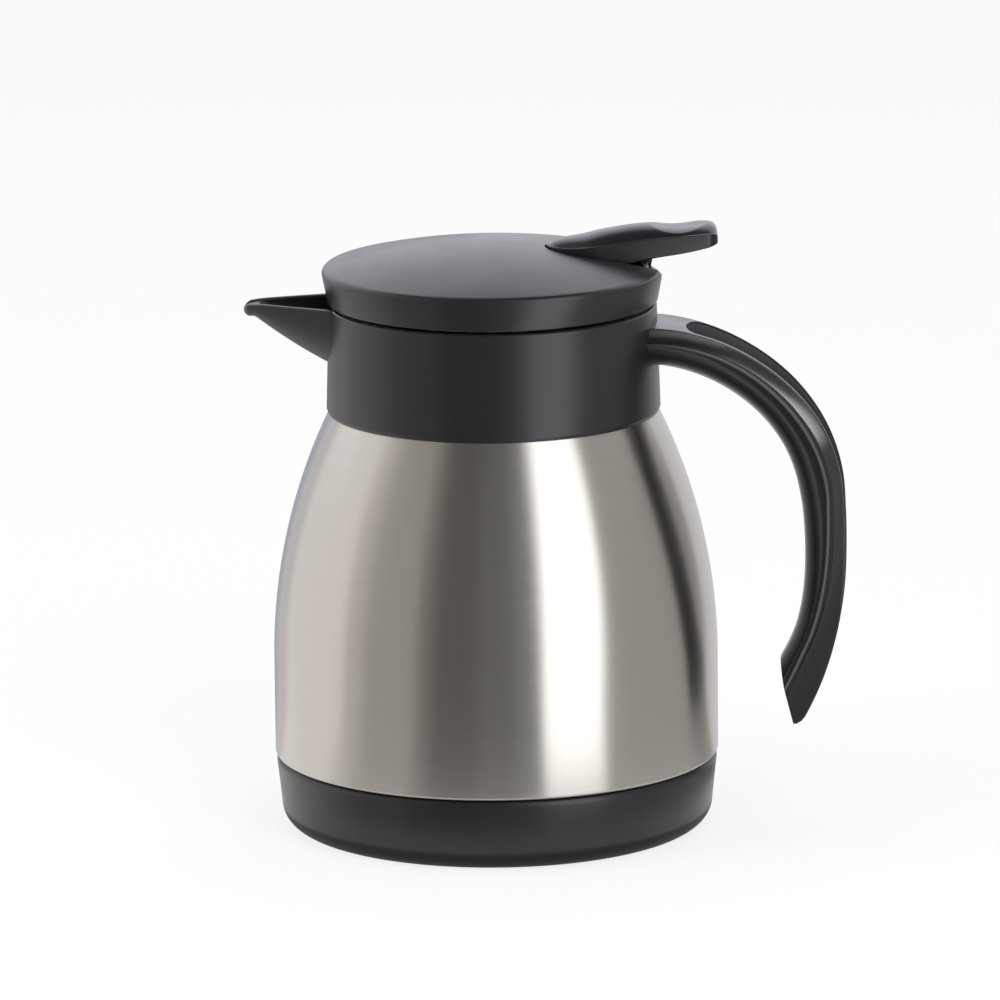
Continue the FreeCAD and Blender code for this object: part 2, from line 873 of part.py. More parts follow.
def plug_body():
    low_radius = flask_neck - plug_play
    flange = lid_inner - snap_fit
    slope_low = lip_height - barrel_low
    outside = [
        (orifice_radius, plug_bottom),
        (low_radius, plug_bottom),
        (low_radius, gasket_low),
        (gasket_bore, gasket_low),
        (gasket_bore, gasket_low + gasket_tall),
        (low_radius, gasket_low + gasket_tall),
        (low_radius, slope_low),
        (barrel_radius, slope_low + barrel_slope),
        (barrel_radius, flange_bottom),
        (step_radius, flange_bottom),
        (step_radius, step_height),
        (flange, step_height),
    ]
    outside += notch(flange, catch_height, catch_depth - seal_gap, catch_half - snap_fit, catch_slope)
    inside = [
        (flange, flange_top),
        (plate_radius, flange_top),
        (plate_radius, plate_bottom),
        (plate_radius - plate_step, plate_bottom),
        (plate_radius - plate_step, slope_low + chamber_slope),
        (chamber_radius, slope_low),
        (chamber_radius, plug_floor),
        (seat_radius, plug_floor),
        (seat_radius, seat_top),
        (seat_radius - seat_width, seat_top),
        (seat_radius - seat_width, plug_floor),
        (orifice_radius, plug_floor),
    ]
    body = turned(outside + inside)
    male_low = female_low - rib_offset
    for start in thread_starts:
        body = body.fuse(rib(barrel_radius - rib_root, male_crest, start - lid_angle, male_low))
    window_low = lip_height + window_rise
    window_high = plate_bottom - window_top
    sector = outline([
        (chamber_radius - cut_margin, window_low),
        (neck_radius + cut_margin, window_low),
        (neck_radius + cut_margin, window_high),
        (chamber_radius - cut_margin, window_high),
    ])
    sector.rotate(ORIGIN, Z_AXIS, 180.0 - window_half_angle)
    body = body.cut(sector.revolve(ORIGIN, Z_AXIS, 2 * window_half_angle))
    return body.removeSplitter()


def plug_gasket():
    inner = gasket_bore + seal_gap
    root = flask_neck - gasket_root
    lip = flask_neck - seal_gap
    low = gasket_low + seal_gap
    high = gasket_low + gasket_tall - seal_gap
    half = 0.5 * lip_flat
    lip_middle = lip_start + lip_slope + half
    lips = notch(root, low + lip_middle, lip - root, half, lip_slope)
    lips += notch(root, high - lip_middle, lip - root, half, lip_slope)
    return turned([(inner, low), (root, low)] + lips + [(root, high), (inner, high)])


def rim_seal():
    inner = step_radius + seal_gap
    low = collar_top + rim_seal_rise
    high = step_height - seal_gap
    return turned([
        (inner, low),
        (inner + rim_seal_width, low),
        (inner + rim_seal_width, high),
        (inner, high),
    ])


def splash_plate():
    bore = stem_radius + running_gap
    rim = plate_radius - seal_gap
    top = plate_bottom + plate_thick
    return turned([
        (bore, plate_bottom - guide_rise),
        (guide_radius, plate_bottom - guide_rise),
        (guide_radius, plate_bottom),
        (rim, plate_bottom),
        (rim, top),
        (guide_radius, top),
        (guide_radius, top + guide_top),
        (bore, top + guide_top),
    ])


def valve_stem():
    low = valve_gasket_bottom - stem_tail
    flange_low = fork_low - stem_flange_thick
    return turned([
        (0.0, low),
        (stem_radius, low),
        (stem_radius, flange_low),
        (stem_flange, flange_low),
        (stem_flange, fork_low),
        (stem_radius, fork_low),
        (stem_radius, stem_end),
        (0.0, stem_end),
    ])


def stem_cap():
    top = stem_end + cap_top
    return turned([
        (stem_radius, fork_high),
        (stem_flange, fork_high),
        (stem_flange, top - cap_chamfer),
        (stem_flange - cap_chamfer, top),
        (0.0, top),
        (0.0, stem_end),
        (stem_radius, stem_end),
    ])


def valve_disc():
    return turned([
        (stem_radius, disc_bottom),
        (disc_radius, disc_bottom),
        (disc_radius, disc_top),
        (guide_radius, disc_top),
        (guide_radius, disc_top + guide_rise),
        (stem_radius, disc_top + guide_rise),
    ])


def valve_gasket():
    rim = disc_radius + valve_gasket_proud
    return turned([
        (stem_radius, valve_gasket_bottom),
        (rim, valve_gasket_bottom),
        (rim, disc_bottom),
        (stem_radius, disc_bottom),
    ])


def valve_nut():
    low = valve_gasket_bottom - nut_height
    corner_radius = stem_radius + nut_wall
    corners = []
    for step in range(7):
        angle = math.radians(60.0 * step)
        corners.append(FreeCAD.Vector(corner_radius * math.cos(angle), corner_radius * math.sin(angle), low))
    prism = Part.Face(Part.makePolygon(corners)).extrude(FreeCAD.Vector(0, 0, nut_height))
    return prism.cut(rod(at(0, low - cut_margin), Z_AXIS, stem_radius, nut_height + 2 * cut_margin))


def coil_point(turn):
    """A point on the spring's centre line and its direction there."""
    angle = 2.0 * math.pi * turn
    across = spring_radius * 2.0 * math.pi
    place = FreeCAD.Vector(spring_radius * math.cos(angle), spring_radius * math.sin(angle),
                           spring_low + spring_pitch * turn)
    heading = FreeCAD.Vector(-across * math.sin(angle), across * math.cos(angle), spring_pitch)
    return place, heading.normalize()


def biarc(first, first_way, second, second_way):
    """Two arcs that leave the first point and reach the second one with the given directions."""
    chord = second - first
    ways = first_way + second_way
    square = 2.0 * (1.0 - first_way.dot(second_way))
    along = chord.dot(ways)
    reach = (math.sqrt(along ** 2 + square * chord.dot(chord)) - along) / square
    joint = (first + second + (first_way - second_way) * reach) * 0.5
    arcs = []
    for start, way, end in ((first, first_way, joint), (second, second_way * -1.0, joint)):
        line = end - start
        side = line - way * line.dot(way)
        radius = line.dot(line) / (2.0 * side.Length)
        side.normalize()
        centre = start + side * radius
        middle = (start + end) * 0.5 - centre
        middle.normalize()
        arcs.append((start, centre + middle * radius, end))
    forward = Part.Arc(*arcs[0]).toShape()
    backward = Part.Arc(arcs[1][2], arcs[1][1], arcs[1][0]).toShape()
    return [forward, backward]


def coil_gap():
    """Least distance between the wire's surfaces on neighbouring turns, measured on points."""
    per_turn = 48
    points = [coil_point(i / per_turn)[0] for i in range(per_turn * spring_turns + 1)]
    least = min(points[i].distanceToPoint(points[j])
                for i in range(len(points))
                for j in range(i + per_turn // 2, len(points)))
    return least - 2.0 * wire_radius


def valve_spring():
    quarters = 4 * spring_turns
    edges = []
    for step in range(quarters):
        first, first_way = coil_point(step / 4.0)
        second, second_way = coil_point((step + 1) / 4.0)
        edges += biarc(first, first_way, second, second_way)
    start, way = coil_point(0.0)
    section = Part.Wire([Part.Circle(start, way, wire_radius).toShape()])
    pipe = Part.BRepOffsetAPI.MakePipeShell(Part.Wire(edges))
    pipe.add(section)
    pipe.build()
    pipe.makeSolid()
    length = sum(edge.Length for edge in edges)
    print("spring gap between turns", round(coil_gap(), 3))
    print("spring volume over section times length",
          round(pipe.shape().Volume / (math.pi * wire_radius ** 2 * length), 4))
    return pipe.shape()


POT_NODES = {
    "outer_shell": outer_shell,
    "inner_flask": inner_flask,
    "bottom_plate": bottom_plate,
    "seal_bead": seal_bead,
    "getter": getter,
    "base_cap": base_cap,
    "collar": collar,
    "collar_gasket": collar_gasket,
    "handle": handle,
    "handle_inlay": handle_inlay,
    "handle_screws": handle_screws,
}
LID_NODES = {
    "lid_cover": lid_cover,
    "lever_pin": lever_pin,
    "lever": lever,
    "plug_body": plug_body,
    "plug_gasket": plug_gasket,
    "rim_seal": rim_seal,
    "splash_plate": splash_plate,
    "valve_stem": valve_stem,
    "stem_cap": stem_cap,
    "valve_disc": valve_disc,
    "valve_gasket": valve_gasket,
    "valve_nut": valve_nut,
    "valve_spring": valve_spring,
}


def main():
    os.makedirs("parts", exist_ok=True)
    for name, make in POT_NODES.items():
        make().exportStep(f"parts/{name}.step")
    for name, make in LID_NODES.items():
        lid_turned(make()).exportStep(f"parts/{name}.step")


main()
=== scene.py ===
"""Looks of an insulated coffee pot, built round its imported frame.

Lengths are millimetres until a piece is finished, when its mesh becomes metres. The studio is
in metres. The origin is the centre of the foot, +Z is up, the handle is at +X and the spout
at -X.
"""

import logging
import math
from dataclasses import dataclass
from enum import Enum

import bmesh
import bpy
from bmesh.types import BMEdge, BMesh, BMVert
from bpy.types import ID, Material, Mesh, Node, NodeSocket, NodeTree, Object, World
from mathutils import Matrix, Vector


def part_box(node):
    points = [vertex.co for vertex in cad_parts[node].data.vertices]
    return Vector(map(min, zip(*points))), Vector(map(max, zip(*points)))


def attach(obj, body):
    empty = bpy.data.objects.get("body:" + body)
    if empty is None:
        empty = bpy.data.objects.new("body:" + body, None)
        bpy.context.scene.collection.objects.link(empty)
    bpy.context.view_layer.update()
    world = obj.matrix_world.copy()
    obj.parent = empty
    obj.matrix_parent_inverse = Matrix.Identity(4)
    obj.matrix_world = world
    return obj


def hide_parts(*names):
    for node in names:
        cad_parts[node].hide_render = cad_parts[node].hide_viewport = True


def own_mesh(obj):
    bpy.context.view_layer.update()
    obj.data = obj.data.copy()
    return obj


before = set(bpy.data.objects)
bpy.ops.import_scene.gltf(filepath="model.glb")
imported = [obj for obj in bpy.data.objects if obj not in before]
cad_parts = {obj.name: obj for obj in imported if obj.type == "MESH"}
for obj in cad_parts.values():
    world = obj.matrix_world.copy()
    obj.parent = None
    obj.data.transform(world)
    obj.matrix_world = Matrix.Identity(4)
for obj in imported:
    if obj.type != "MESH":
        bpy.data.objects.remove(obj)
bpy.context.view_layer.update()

MM = 0.001
LOG = logging.getLogger("coffee_pot")

# Edges flatter than this are shaded smooth.
SMOOTH_ANGLE = math.radians(32)
# Steps round the pot's axis.
ROUND_STEPS = 256
# Most values of a noise pattern lie between these two.
NOISE_SPAN = (0.3, 0.7)
# UV map whose first axis runs up the steel wall.
HEIGHT_MAP = "height"
# Rays that see the white of floor and backdrop.
SEEING_RAYS = ("Is Camera Ray", "Is Glossy Ray", "Is Transmission Ray")

Point = tuple[float, float]
Place = tuple[float, float, float]
# A corner of an outline: its place, and its radius where it is rounded.
Corner = tuple[float, ...]
# A snap groove or bead: how far it stands out, half of its flat height, and each slope's height.
Snap = tuple[float, float, float]
# A size that changes along a piece: where, and how much.
Table = tuple[Point, ...]
# Sizes that belong together.
Row = tuple[float, ...]


class Join(Enum):
    """How a second solid meets the first."""

    ADD = "UNION"
    CUT = "DIFFERENCE"


def linear(colour: str) -> tuple[float, float, float, float]:
    """Turns an sRGB hex colour to linear red, green, blue and alpha.

    Args:
        colour: Hex value such as "#8c8278".

    Returns:
        The linear colour with an alpha of 1.
    """
    channels = [int(colour[i:i + 2], 16) / 255 for i in (1, 3, 5)]
    return (*[c / 12.92 if c <= 0.04045 else ((c + 0.055) / 1.055) ** 2.4 for c in channels], 1.0)


def emptied(owner: Material | World) -> NodeTree:
    """Turns on the nodes of a material or world, and empties their tree.

    Args:
        owner: The material or world.

    Returns:
        The empty tree.
    """
    owner.use_nodes = True
    owner.node_tree.nodes.clear()
    return owner.node_tree


def add_node(tree: NodeTree, kind: str, inputs: dict | None = None, **settings: object) -> Node:
    """Adds a node with its settings, and sets or links its inputs.

    Args:
        tree: Node tree that gets the node.
        kind: Blender's type name of the node.
        inputs: Value or output socket for each input, by name or number.
        settings: Attributes of the node itself.

    Returns:
        The new node.
    """
    node = tree.nodes.new(kind)
    for name, value in settings.items():
        setattr(node, name, value)
    for key, value in (inputs or {}).items():
        if isinstance(value, NodeSocket):
            tree.links.new(value, node.inputs[key])
        else:
            node.inputs[key].default_value = value
    return node


def linked(name: str, data: ID) -> Object:
    """Makes an object and links it into the scene.

    Args:
        name: Name of the object.
        data: Its mesh, lamp or camera.

    Returns:
        The object.
    """
    made = bpy.data.objects.new(name, data)
    bpy.context.scene.collection.objects.link(made)
    return made


# Outlines


def arc_points(centre: Point, radius: float, start: float, end: float, steps: int) -> list[Point]:
    """Points along an arc.

    Args:
        centre: Centre of the arc.
        radius: Radius of the arc.
        start: First angle in degrees.
        end: Last angle in degrees.
        steps: Number of equal steps.

    Returns:
        The points, both ends included.
    """
    angles = [math.radians(start + (end - start) * step / steps) for step in range(steps + 1)]
    return [(centre[0] + radius * math.cos(a), centre[1] + radius * math.sin(a)) for a in angles]


def rounded(corners: list[Corner], steps: int = 5) -> list[Point]:
    """Rounds the corners of a closed outline.

    Args:
        corners: Each corner's place, and its radius where it is rounded.
        steps: Steps in each rounding.

    Returns:
        The points of the outline, in the same order.
    """
    points: list[Point] = []
    for index, (x, y, *radii) in enumerate(corners):
        if not any(radii):
            points.append((x, y))
            continue
        here, radius = Vector((x, y)), radii[0]
        back, on = [(Vector(corners[i % len(corners)][:2]) - here).normalized()
                    for i in (index - 1, index + 1)]
        half = back.angle(on) / 2
        centre = here + (back + on).normalized() * (radius / math.sin(half))
        ends = [here + way * (radius / math.tan(half)) - centre for way in (back, on)]
        start, end = [math.degrees(math.atan2(edge.y, edge.x)) for edge in ends]
        sweep = (end - start + 180) % 360 - 180
        points += arc_points(tuple(centre), radius, start, start + sweep, steps)
    return points


def notch(radius: float, middle: float, snap: Snap) -> list[Corner]:
    """Four corners of a groove or bead on an upright wall, from low to high.

    Args:
        radius: Radius of the wall.
        middle: Height of its middle.
        snap: Its section.

    Returns:
        The corners.
    """
    out, half, slope = snap
    return [(radius, middle - half - slope), (radius + out, middle - half),
            (radius + out, middle + half), (radius, middle + half + slope)]


def both_sides(span: Point) -> list[Point]:
    """A span across the middle plane and its mirror image, each from low to high."""
    return [(-span[1], -span[0]), span]


def blended(value: float, table: Table) -> float:
    """Reads a table along a smooth curve through its points.

    Args:
        value: Where to read.
        table: Place and value of each point, in order.

    Returns:
        The value there; past the ends, the end's own value.
    """
    if value <= table[0][0]:
        return table[0][1]
    if value >= table[-1][0]:
        return table[-1][1]
    spot = next(i for i in range(len(table) - 1) if value <= table[i + 1][0])

    def slope(index: int) -> float:
        """Slope of the curve at a point of the table."""
        low, high = max(index - 1, 0), min(index + 1, len(table) - 1)
        return (table[high][1] - table[low][1]) / (table[high][0] - table[low][0])

    (x0, y0), (x1, y1) = table[spot], table[spot + 1]
    span = x1 - x0
    t = (value - x0) / span
    return (y0 * (1 + 2 * t) * (1 - t) ** 2 + slope(spot) * span * t * (1 - t) ** 2
            + y1 * t * t * (3 - 2 * t) + slope(spot + 1) * span * t * t * (t - 1))


# Meshes


def tidied(mesh: BMesh) -> BMesh:
    """Merges doubles and turns the faces of a closed mesh outwards.

    Args:
        mesh: The mesh, which is changed.

    Returns:
        The same mesh.
    """
    bmesh.ops.remove_doubles(mesh, verts=mesh.verts, dist=1e-4)
    bmesh.ops.dissolve_degenerate(mesh, edges=mesh.edges, dist=1e-5)
    bmesh.ops.recalc_face_normals(mesh, faces=mesh.faces)
    return mesh


def ring_edges(mesh: BMesh, verts: list[BMVert]) -> list[BMEdge]:
    """Finds or adds the edges of a closed ring of vertices."""
    pairs = zip(verts, verts[1:] + verts[:1])
    return [mesh.edges.get(pair) or mesh.edges.new(pair) for pair in pairs]


def lathe(profile: list[Point]) -> BMesh:
    """Turns an outline about the Z axis.

    Args:
        profile: Radius and height of each point, closed, or open with both ends on the axis.

    Returns:
        The closed solid.
    """
    mesh = bmesh.new()
    verts = [mesh.verts.new((radius, 0, height)) for radius, height in profile]
    edges = ring_edges(mesh, verts)
    if profile[0][0] == 0 and profile[-1][0] == 0:
        mesh.edges.remove(edges.pop())
    bmesh.ops.spin(mesh, geom=verts + edges, cent=(0, 0, 0), axis=(0, 0, 1), angle=math.tau,
                   steps=ROUND_STEPS, use_merge=True)
    return tidied(mesh)


def drawn(loops: list[list[Vector]]) -> BMesh:
    """Extrudes a ring from station to station and closes both ends.

    Args:
        loops: The ring's points at each station, the same number each time.

    Returns:
        The closed solid.
    """
    mesh = bmesh.new()
    ring = [mesh.verts.new(point) for point in loops[0]]
    edges = ring_edges(mesh, ring)
    mesh.faces.new(ring)
    for loop in loops[1:]:
        grown = bmesh.ops.extrude_edge_only(mesh, edges=edges)["geom"]
        fresh = {item for item in grown if isinstance(item, BMVert)}
        ring = [next(e.other_vert(v) for e in v.link_edges if e.other_vert(v) in fresh)
                for v in ring]
        for vert, point in zip(ring, loop):
            vert.co = point
        edges = ring_edges(mesh, ring)
    mesh.faces.new(ring)
    return tidied(mesh)


def upright(outline: list[Point], low: float, high: float) -> BMesh:
    """Extrudes a plan outline upwards, from one height to another."""
    return drawn([[Vector((x, y, height)) for x, y in outline] for height in (low, high)])


def block(low: Place, high: Place) -> BMesh:
    """A box between two corners, for cutting and joining."""
    plan = [(low[0], low[1]), (high[0], low[1]), (high[0], high[1]), (low[0], high[1])]
    return upright(plan, low[2], high[2])


def rod(start: Place, end: Place, radius: float, end_radius: float | None = None,
        segments: int = 48) -> BMesh:
    """A round bar or cone between two points.

    Args:
        start: Centre of the first end.
        end: Centre of the other end.
        radius: Radius at the start.
        end_radius: Radius at the end, where it differs.
        segments: Steps round the bar.

    Returns:
        The closed solid.
    """
    mesh = bmesh.new()
    run = Vector(end) - Vector(start)
    middle = Matrix.Translation((Vector(start) + Vector(end)) / 2)
    bmesh.ops.create_cone(mesh, cap_ends=True, segments=segments, radius1=radius,
                          radius2=radius if end_radius is None else end_radius, depth=run.length,
                          matrix=middle @ run.to_track_quat("Z", "Y").to_matrix().to_4x4())
    return mesh


def as_data(name: str, mesh: BMesh) -> Mesh:
    """Turns a working mesh to mesh data.

    Args:
        name: Name of the data.
        mesh: The working mesh, which is used up.

    Returns:
        The data.
    """
    data = bpy.data.meshes.new(name)
    mesh.to_mesh(data)
    mesh.free()
    return data


def joined(mesh: BMesh, join: Join, *tools: BMesh) -> BMesh:
    """Adds solids to another or cuts them away, one after another; all inputs are used up.

    Args:
        mesh: The solid that is kept.
        join: Whether the others are added or cut away.
        tools: The other solids.

    Returns:
        The new solid.
    """
    for tool in tools:
        works = [linked("work", as_data("work", part)) for part in (mesh, tool)]
        modifier = works[0].modifiers.new("join", "BOOLEAN")
        modifier.operation = join.value
        modifier.solver = "EXACT"
        modifier.object = works[1]
        graph = bpy.context.evaluated_depsgraph_get()
        result = bpy.data.meshes.new_from_object(works[0].evaluated_get(graph))
        mesh = bmesh.new()
        mesh.from_mesh(result)
        for data in [work.data for work in works] + [result]:
            bpy.data.meshes.remove(data)
    return mesh


# Finishes


@dataclass(frozen=True)
class Grain:
    """A noise pattern, by the real size of its marks in millimetres along X, Y and Z."""

    size: Place
    detail: float = 3.0
    roughness: float = 0.5


@dataclass(frozen=True)
class Finish:
    """What every finish has: two tones, a range of roughness, and a relief.

    The first pattern mixes the tones and moves the roughness with them. The second gives the
    relief, whose depth is in millimetres.
    """

    name: str
    tones: tuple[str, str]
    roughness: Point
    clouds: Grain
    relief: Grain
    depth: float
    strength: float = 0.4

    def shine(self, tree: NodeTree) -> dict[str, object]:
        """What the shader's other sockets get."""
        return {}

    def material(self) -> Material:
        """Builds the node material.

        Returns:
            The material.
        """
        made = bpy.data.materials.new(self.name)
        tree = emptied(made)
        place = add_node(tree, "ShaderNodeTexCoord").outputs["Object"]
        marks = {}
        for grain in dict.fromkeys((self.clouds, self.relief)):
            scale = [1 / (size * MM) for size in grain.size]
            sized = add_node(tree, "ShaderNodeMapping", {"Vector": place, "Scale": scale})
            noise = add_node(tree, "ShaderNodeTexNoise", {
                "Vector": sized.outputs["Vector"], "Scale": 1.0, "Detail": grain.detail,
                "Roughness": grain.roughness})
            marks[grain] = noise.outputs["Fac"]
        low, high = [linear(tone) for tone in self.tones]
        # The colours of a Mix node share their names with its numbers, so they go by place.
        colour = add_node(tree, "ShaderNodeMix", {0: marks[self.clouds], 6: low, 7: high},
                          data_type="RGBA")
        rough = add_node(tree, "ShaderNodeMapRange", {
            "Value": marks[self.clouds], "From Min": NOISE_SPAN[0], "From Max": NOISE_SPAN[1],
            "To Min": self.roughness[0], "To Max": self.roughness[1]})
        bump = add_node(tree, "ShaderNodeBump", {
            "Height": marks[self.relief], "Strength": self.strength, "Distance": self.depth * MM})
        shader = add_node(tree, "ShaderNodeBsdfPrincipled", {
            "Base Color": colour.outputs[2], "Roughness": rough.outputs[0],
            "Normal": bump.outputs[0], **self.shine(tree)})
        add_node(tree, "ShaderNodeOutputMaterial", {"Surface": shader.outputs[0]})
        return made


@dataclass(frozen=True)
class Metal(Finish):
    """Bare metal, with the marks of how it was brushed, drawn, turned or pressed.

    Drawn, turned or sintered metal shows slow changes of tone and fine lines or grains. Where
    brushed lines all run one way, the highlights stretch across them.
    """

    strength: float = 0.3
    anisotropy: float = 0.0

    def shine(self, tree: NodeTree) -> dict[str, object]:
        """Makes it bare metal, and stretches its highlights across its lines.

        Args:
            tree: Node tree of the material.

        Returns:
            Values or links, by the shader's socket.
        """
        sockets: dict[str, object] = {"Metallic": 1.0, "Anisotropic": self.anisotropy}
        if self.anisotropy > 0:
            tangent = add_node(tree, "ShaderNodeTangent", direction_type="UV_MAP",
                               uv_map=HEIGHT_MAP)
            sockets["Tangent"] = tangent.outputs[0]
        return sockets


@dataclass(frozen=True)
class Moulded(Finish):
    """Injection-moulded plastic or silicone.

    The mould's spark-eroded or polished wall leaves a fine grain, flow leaves slow changes of
    gloss, and dust and handling leave slow changes of tone.
    """

    ior: float = 1.5
    soft: float = 0.0
    soft_depth: float = 1.5
    soft_tint: Place = (1.0, 0.9, 0.8)

    def shine(self, tree: NodeTree) -> dict[str, object]:
        """Sets the index of refraction, and how deep light goes into a soft one.

        Args:
            tree: Node tree of the material; not used.

        Returns:
            Values, by the shader's socket.
        """
        sockets: dict[str, object] = {"IOR": self.ior}
        if self.soft > 0:
            sockets |= {"Subsurface Weight": self.soft, "Subsurface Radius": self.soft_tint,
                        "Subsurface Scale": self.soft_depth * MM}
        return sockets


# Brush lines run round the body. The real ones are finer than a pixel, so they are drawn at
# about three times their width.
BRUSH_LINES = Grain((40.0, 40.0, 0.3), roughness=0.6)
DRAW_MARKS = Grain((0.6, 0.6, 25.0))
TOOL_RINGS = Grain((2.0, 2.0, 0.25))
CRYSTALS = Grain((1.2, 1.2, 1.2))
POWDER = Grain((0.3, 0.3, 0.3))
FLOW = Grain((14.0, 14.0, 14.0), 4.0, 0.55)
MILK = Grain((9.0, 9.0, 9.0), 4.0, 0.55)
FINE_EROSION = Grain((0.28, 0.28, 0.28), 2.0)
LEVER_EROSION = Grain((0.3, 0.3, 0.3), 2.0)
DRY_EROSION = Grain((0.35, 0.35, 0.35), 2.0)
PLAIN_EROSION = Grain((0.4, 0.4, 0.4), 2.0)
POLISH = Grain((0.5, 0.5, 0.5), 2.0)

# Stainless steel of the shell, brushed round: tall bright bands, with fine streaks across them.
BRUSHED_STEEL = Metal("brushed_stainless_steel", ("#bcb8b2", "#cac7c2"), (0.28, 0.34),
                      BRUSH_LINES, BRUSH_LINES, 0.002, 0.25, anisotropy=0.9)
# Deep-drawn stainless steel of the flask and its plate: upright draw marks and a dull gloss.
DRAWN_STEEL = Metal("drawn_stainless_steel", ("#aeaaa4", "#c9c6c1"), (0.30, 0.44),
                    DRAW_MARKS, DRAW_MARKS, 0.006)
# Turned or wire-drawn stainless steel of screws, pin, stem, nut and spring: fine tool rings.
TURNED_STEEL = Metal("turned_stainless_steel", ("#9d9b98", "#bdbcba"), (0.22, 0.34),
                     TOOL_RINGS, TOOL_RINGS, 0.004)
# Solder on the evacuation hole: frozen drop, dull and slightly crystalline.
SOLDER = Metal("frozen_solder", ("#8e8e92", "#b4b4b6"), (0.42, 0.58), CRYSTALS, CRYSTALS, 0.020)
# Sintered getter pill: pressed metal powder, dark and matt.
SINTERED = Metal("sintered_metal", ("#4c4c50", "#6f6f72"), (0.60, 0.75), POWDER, POWDER, 0.030)
# Satin polypropylene of base, collar and lid: a fine spark-eroded grain and a soft wide sheen.
SATIN_BLACK = Moulded("satin_black_polypropylene", ("#1a1a1c", "#1f1f21"), (0.31, 0.35),
                      FLOW, FINE_EROSION, 0.006, ior=1.49)
# Half-gloss ABS of the handle: almost polished, with slow waves in its gloss.
GLOSS_BLACK = Moulded("half_gloss_black_abs", ("#141416", "#1a1a1c"), (0.22, 0.26),
                      FLOW, POLISH, 0.0001, ior=1.54)
# Satin ABS of the lever: a little softer in its gloss than the handle.
LEVER_BLACK = Moulded("satin_black_abs", ("#131315", "#18181a"), (0.26, 0.31),
                      FLOW, LEVER_EROSION, 0.003, ior=1.48)
# Matt thermoplastic elastomer of the inlay: dry, dark and even.
INLAY_BLACK = Moulded("matt_black_elastomer", ("#161617", "#1c1c1d"), (0.66, 0.74),
                      FLOW, DRY_EROSION, 0.010, ior=1.2)
# Plain polypropylene of the stopper: a coarser mould and less gloss.
STOPPER_BLACK = Moulded("plain_black_polypropylene", ("#2a2a2b", "#333334"), (0.40, 0.52),
                        FLOW, PLAIN_EROSION, 0.008, ior=1.49)
# Food-grade silicone of the seals: milky, slightly see-through and soft in its sheen.
SILICONE = Moulded("milky_silicone", ("#dcd9d0", "#cfcbc0"), (0.38, 0.50), MILK, POLISH, 0.006,
                   ior=1.41, soft=0.35)


# Sub-assemblies


def finished(name: str, mesh: BMesh, body: str, node: str, finish: Finish) -> Object:
    """Turns a mesh in millimetres to a piece that rides on its body.

    Args:
        name: Name of the piece.
        mesh: Its solid, which is used up.
        body: Body of the frame that it moves with.
        node: Frame node that it stands for.
        finish: Its finish.

    Returns:
        The piece.
    """
    bmesh.ops.scale(mesh, vec=(MM, MM, MM), verts=mesh.verts)
    data = as_data(name, mesh)
    data.shade_smooth()
    data.set_sharp_from_angle(angle=SMOOTH_ANGLE)
    data.materials.append(finish.material())
    piece = linked(name, data)
    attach(piece, body)
    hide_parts(node)
    LOG.info("%s: %d faces on %s", name, len(data.polygons), body)
    return piece


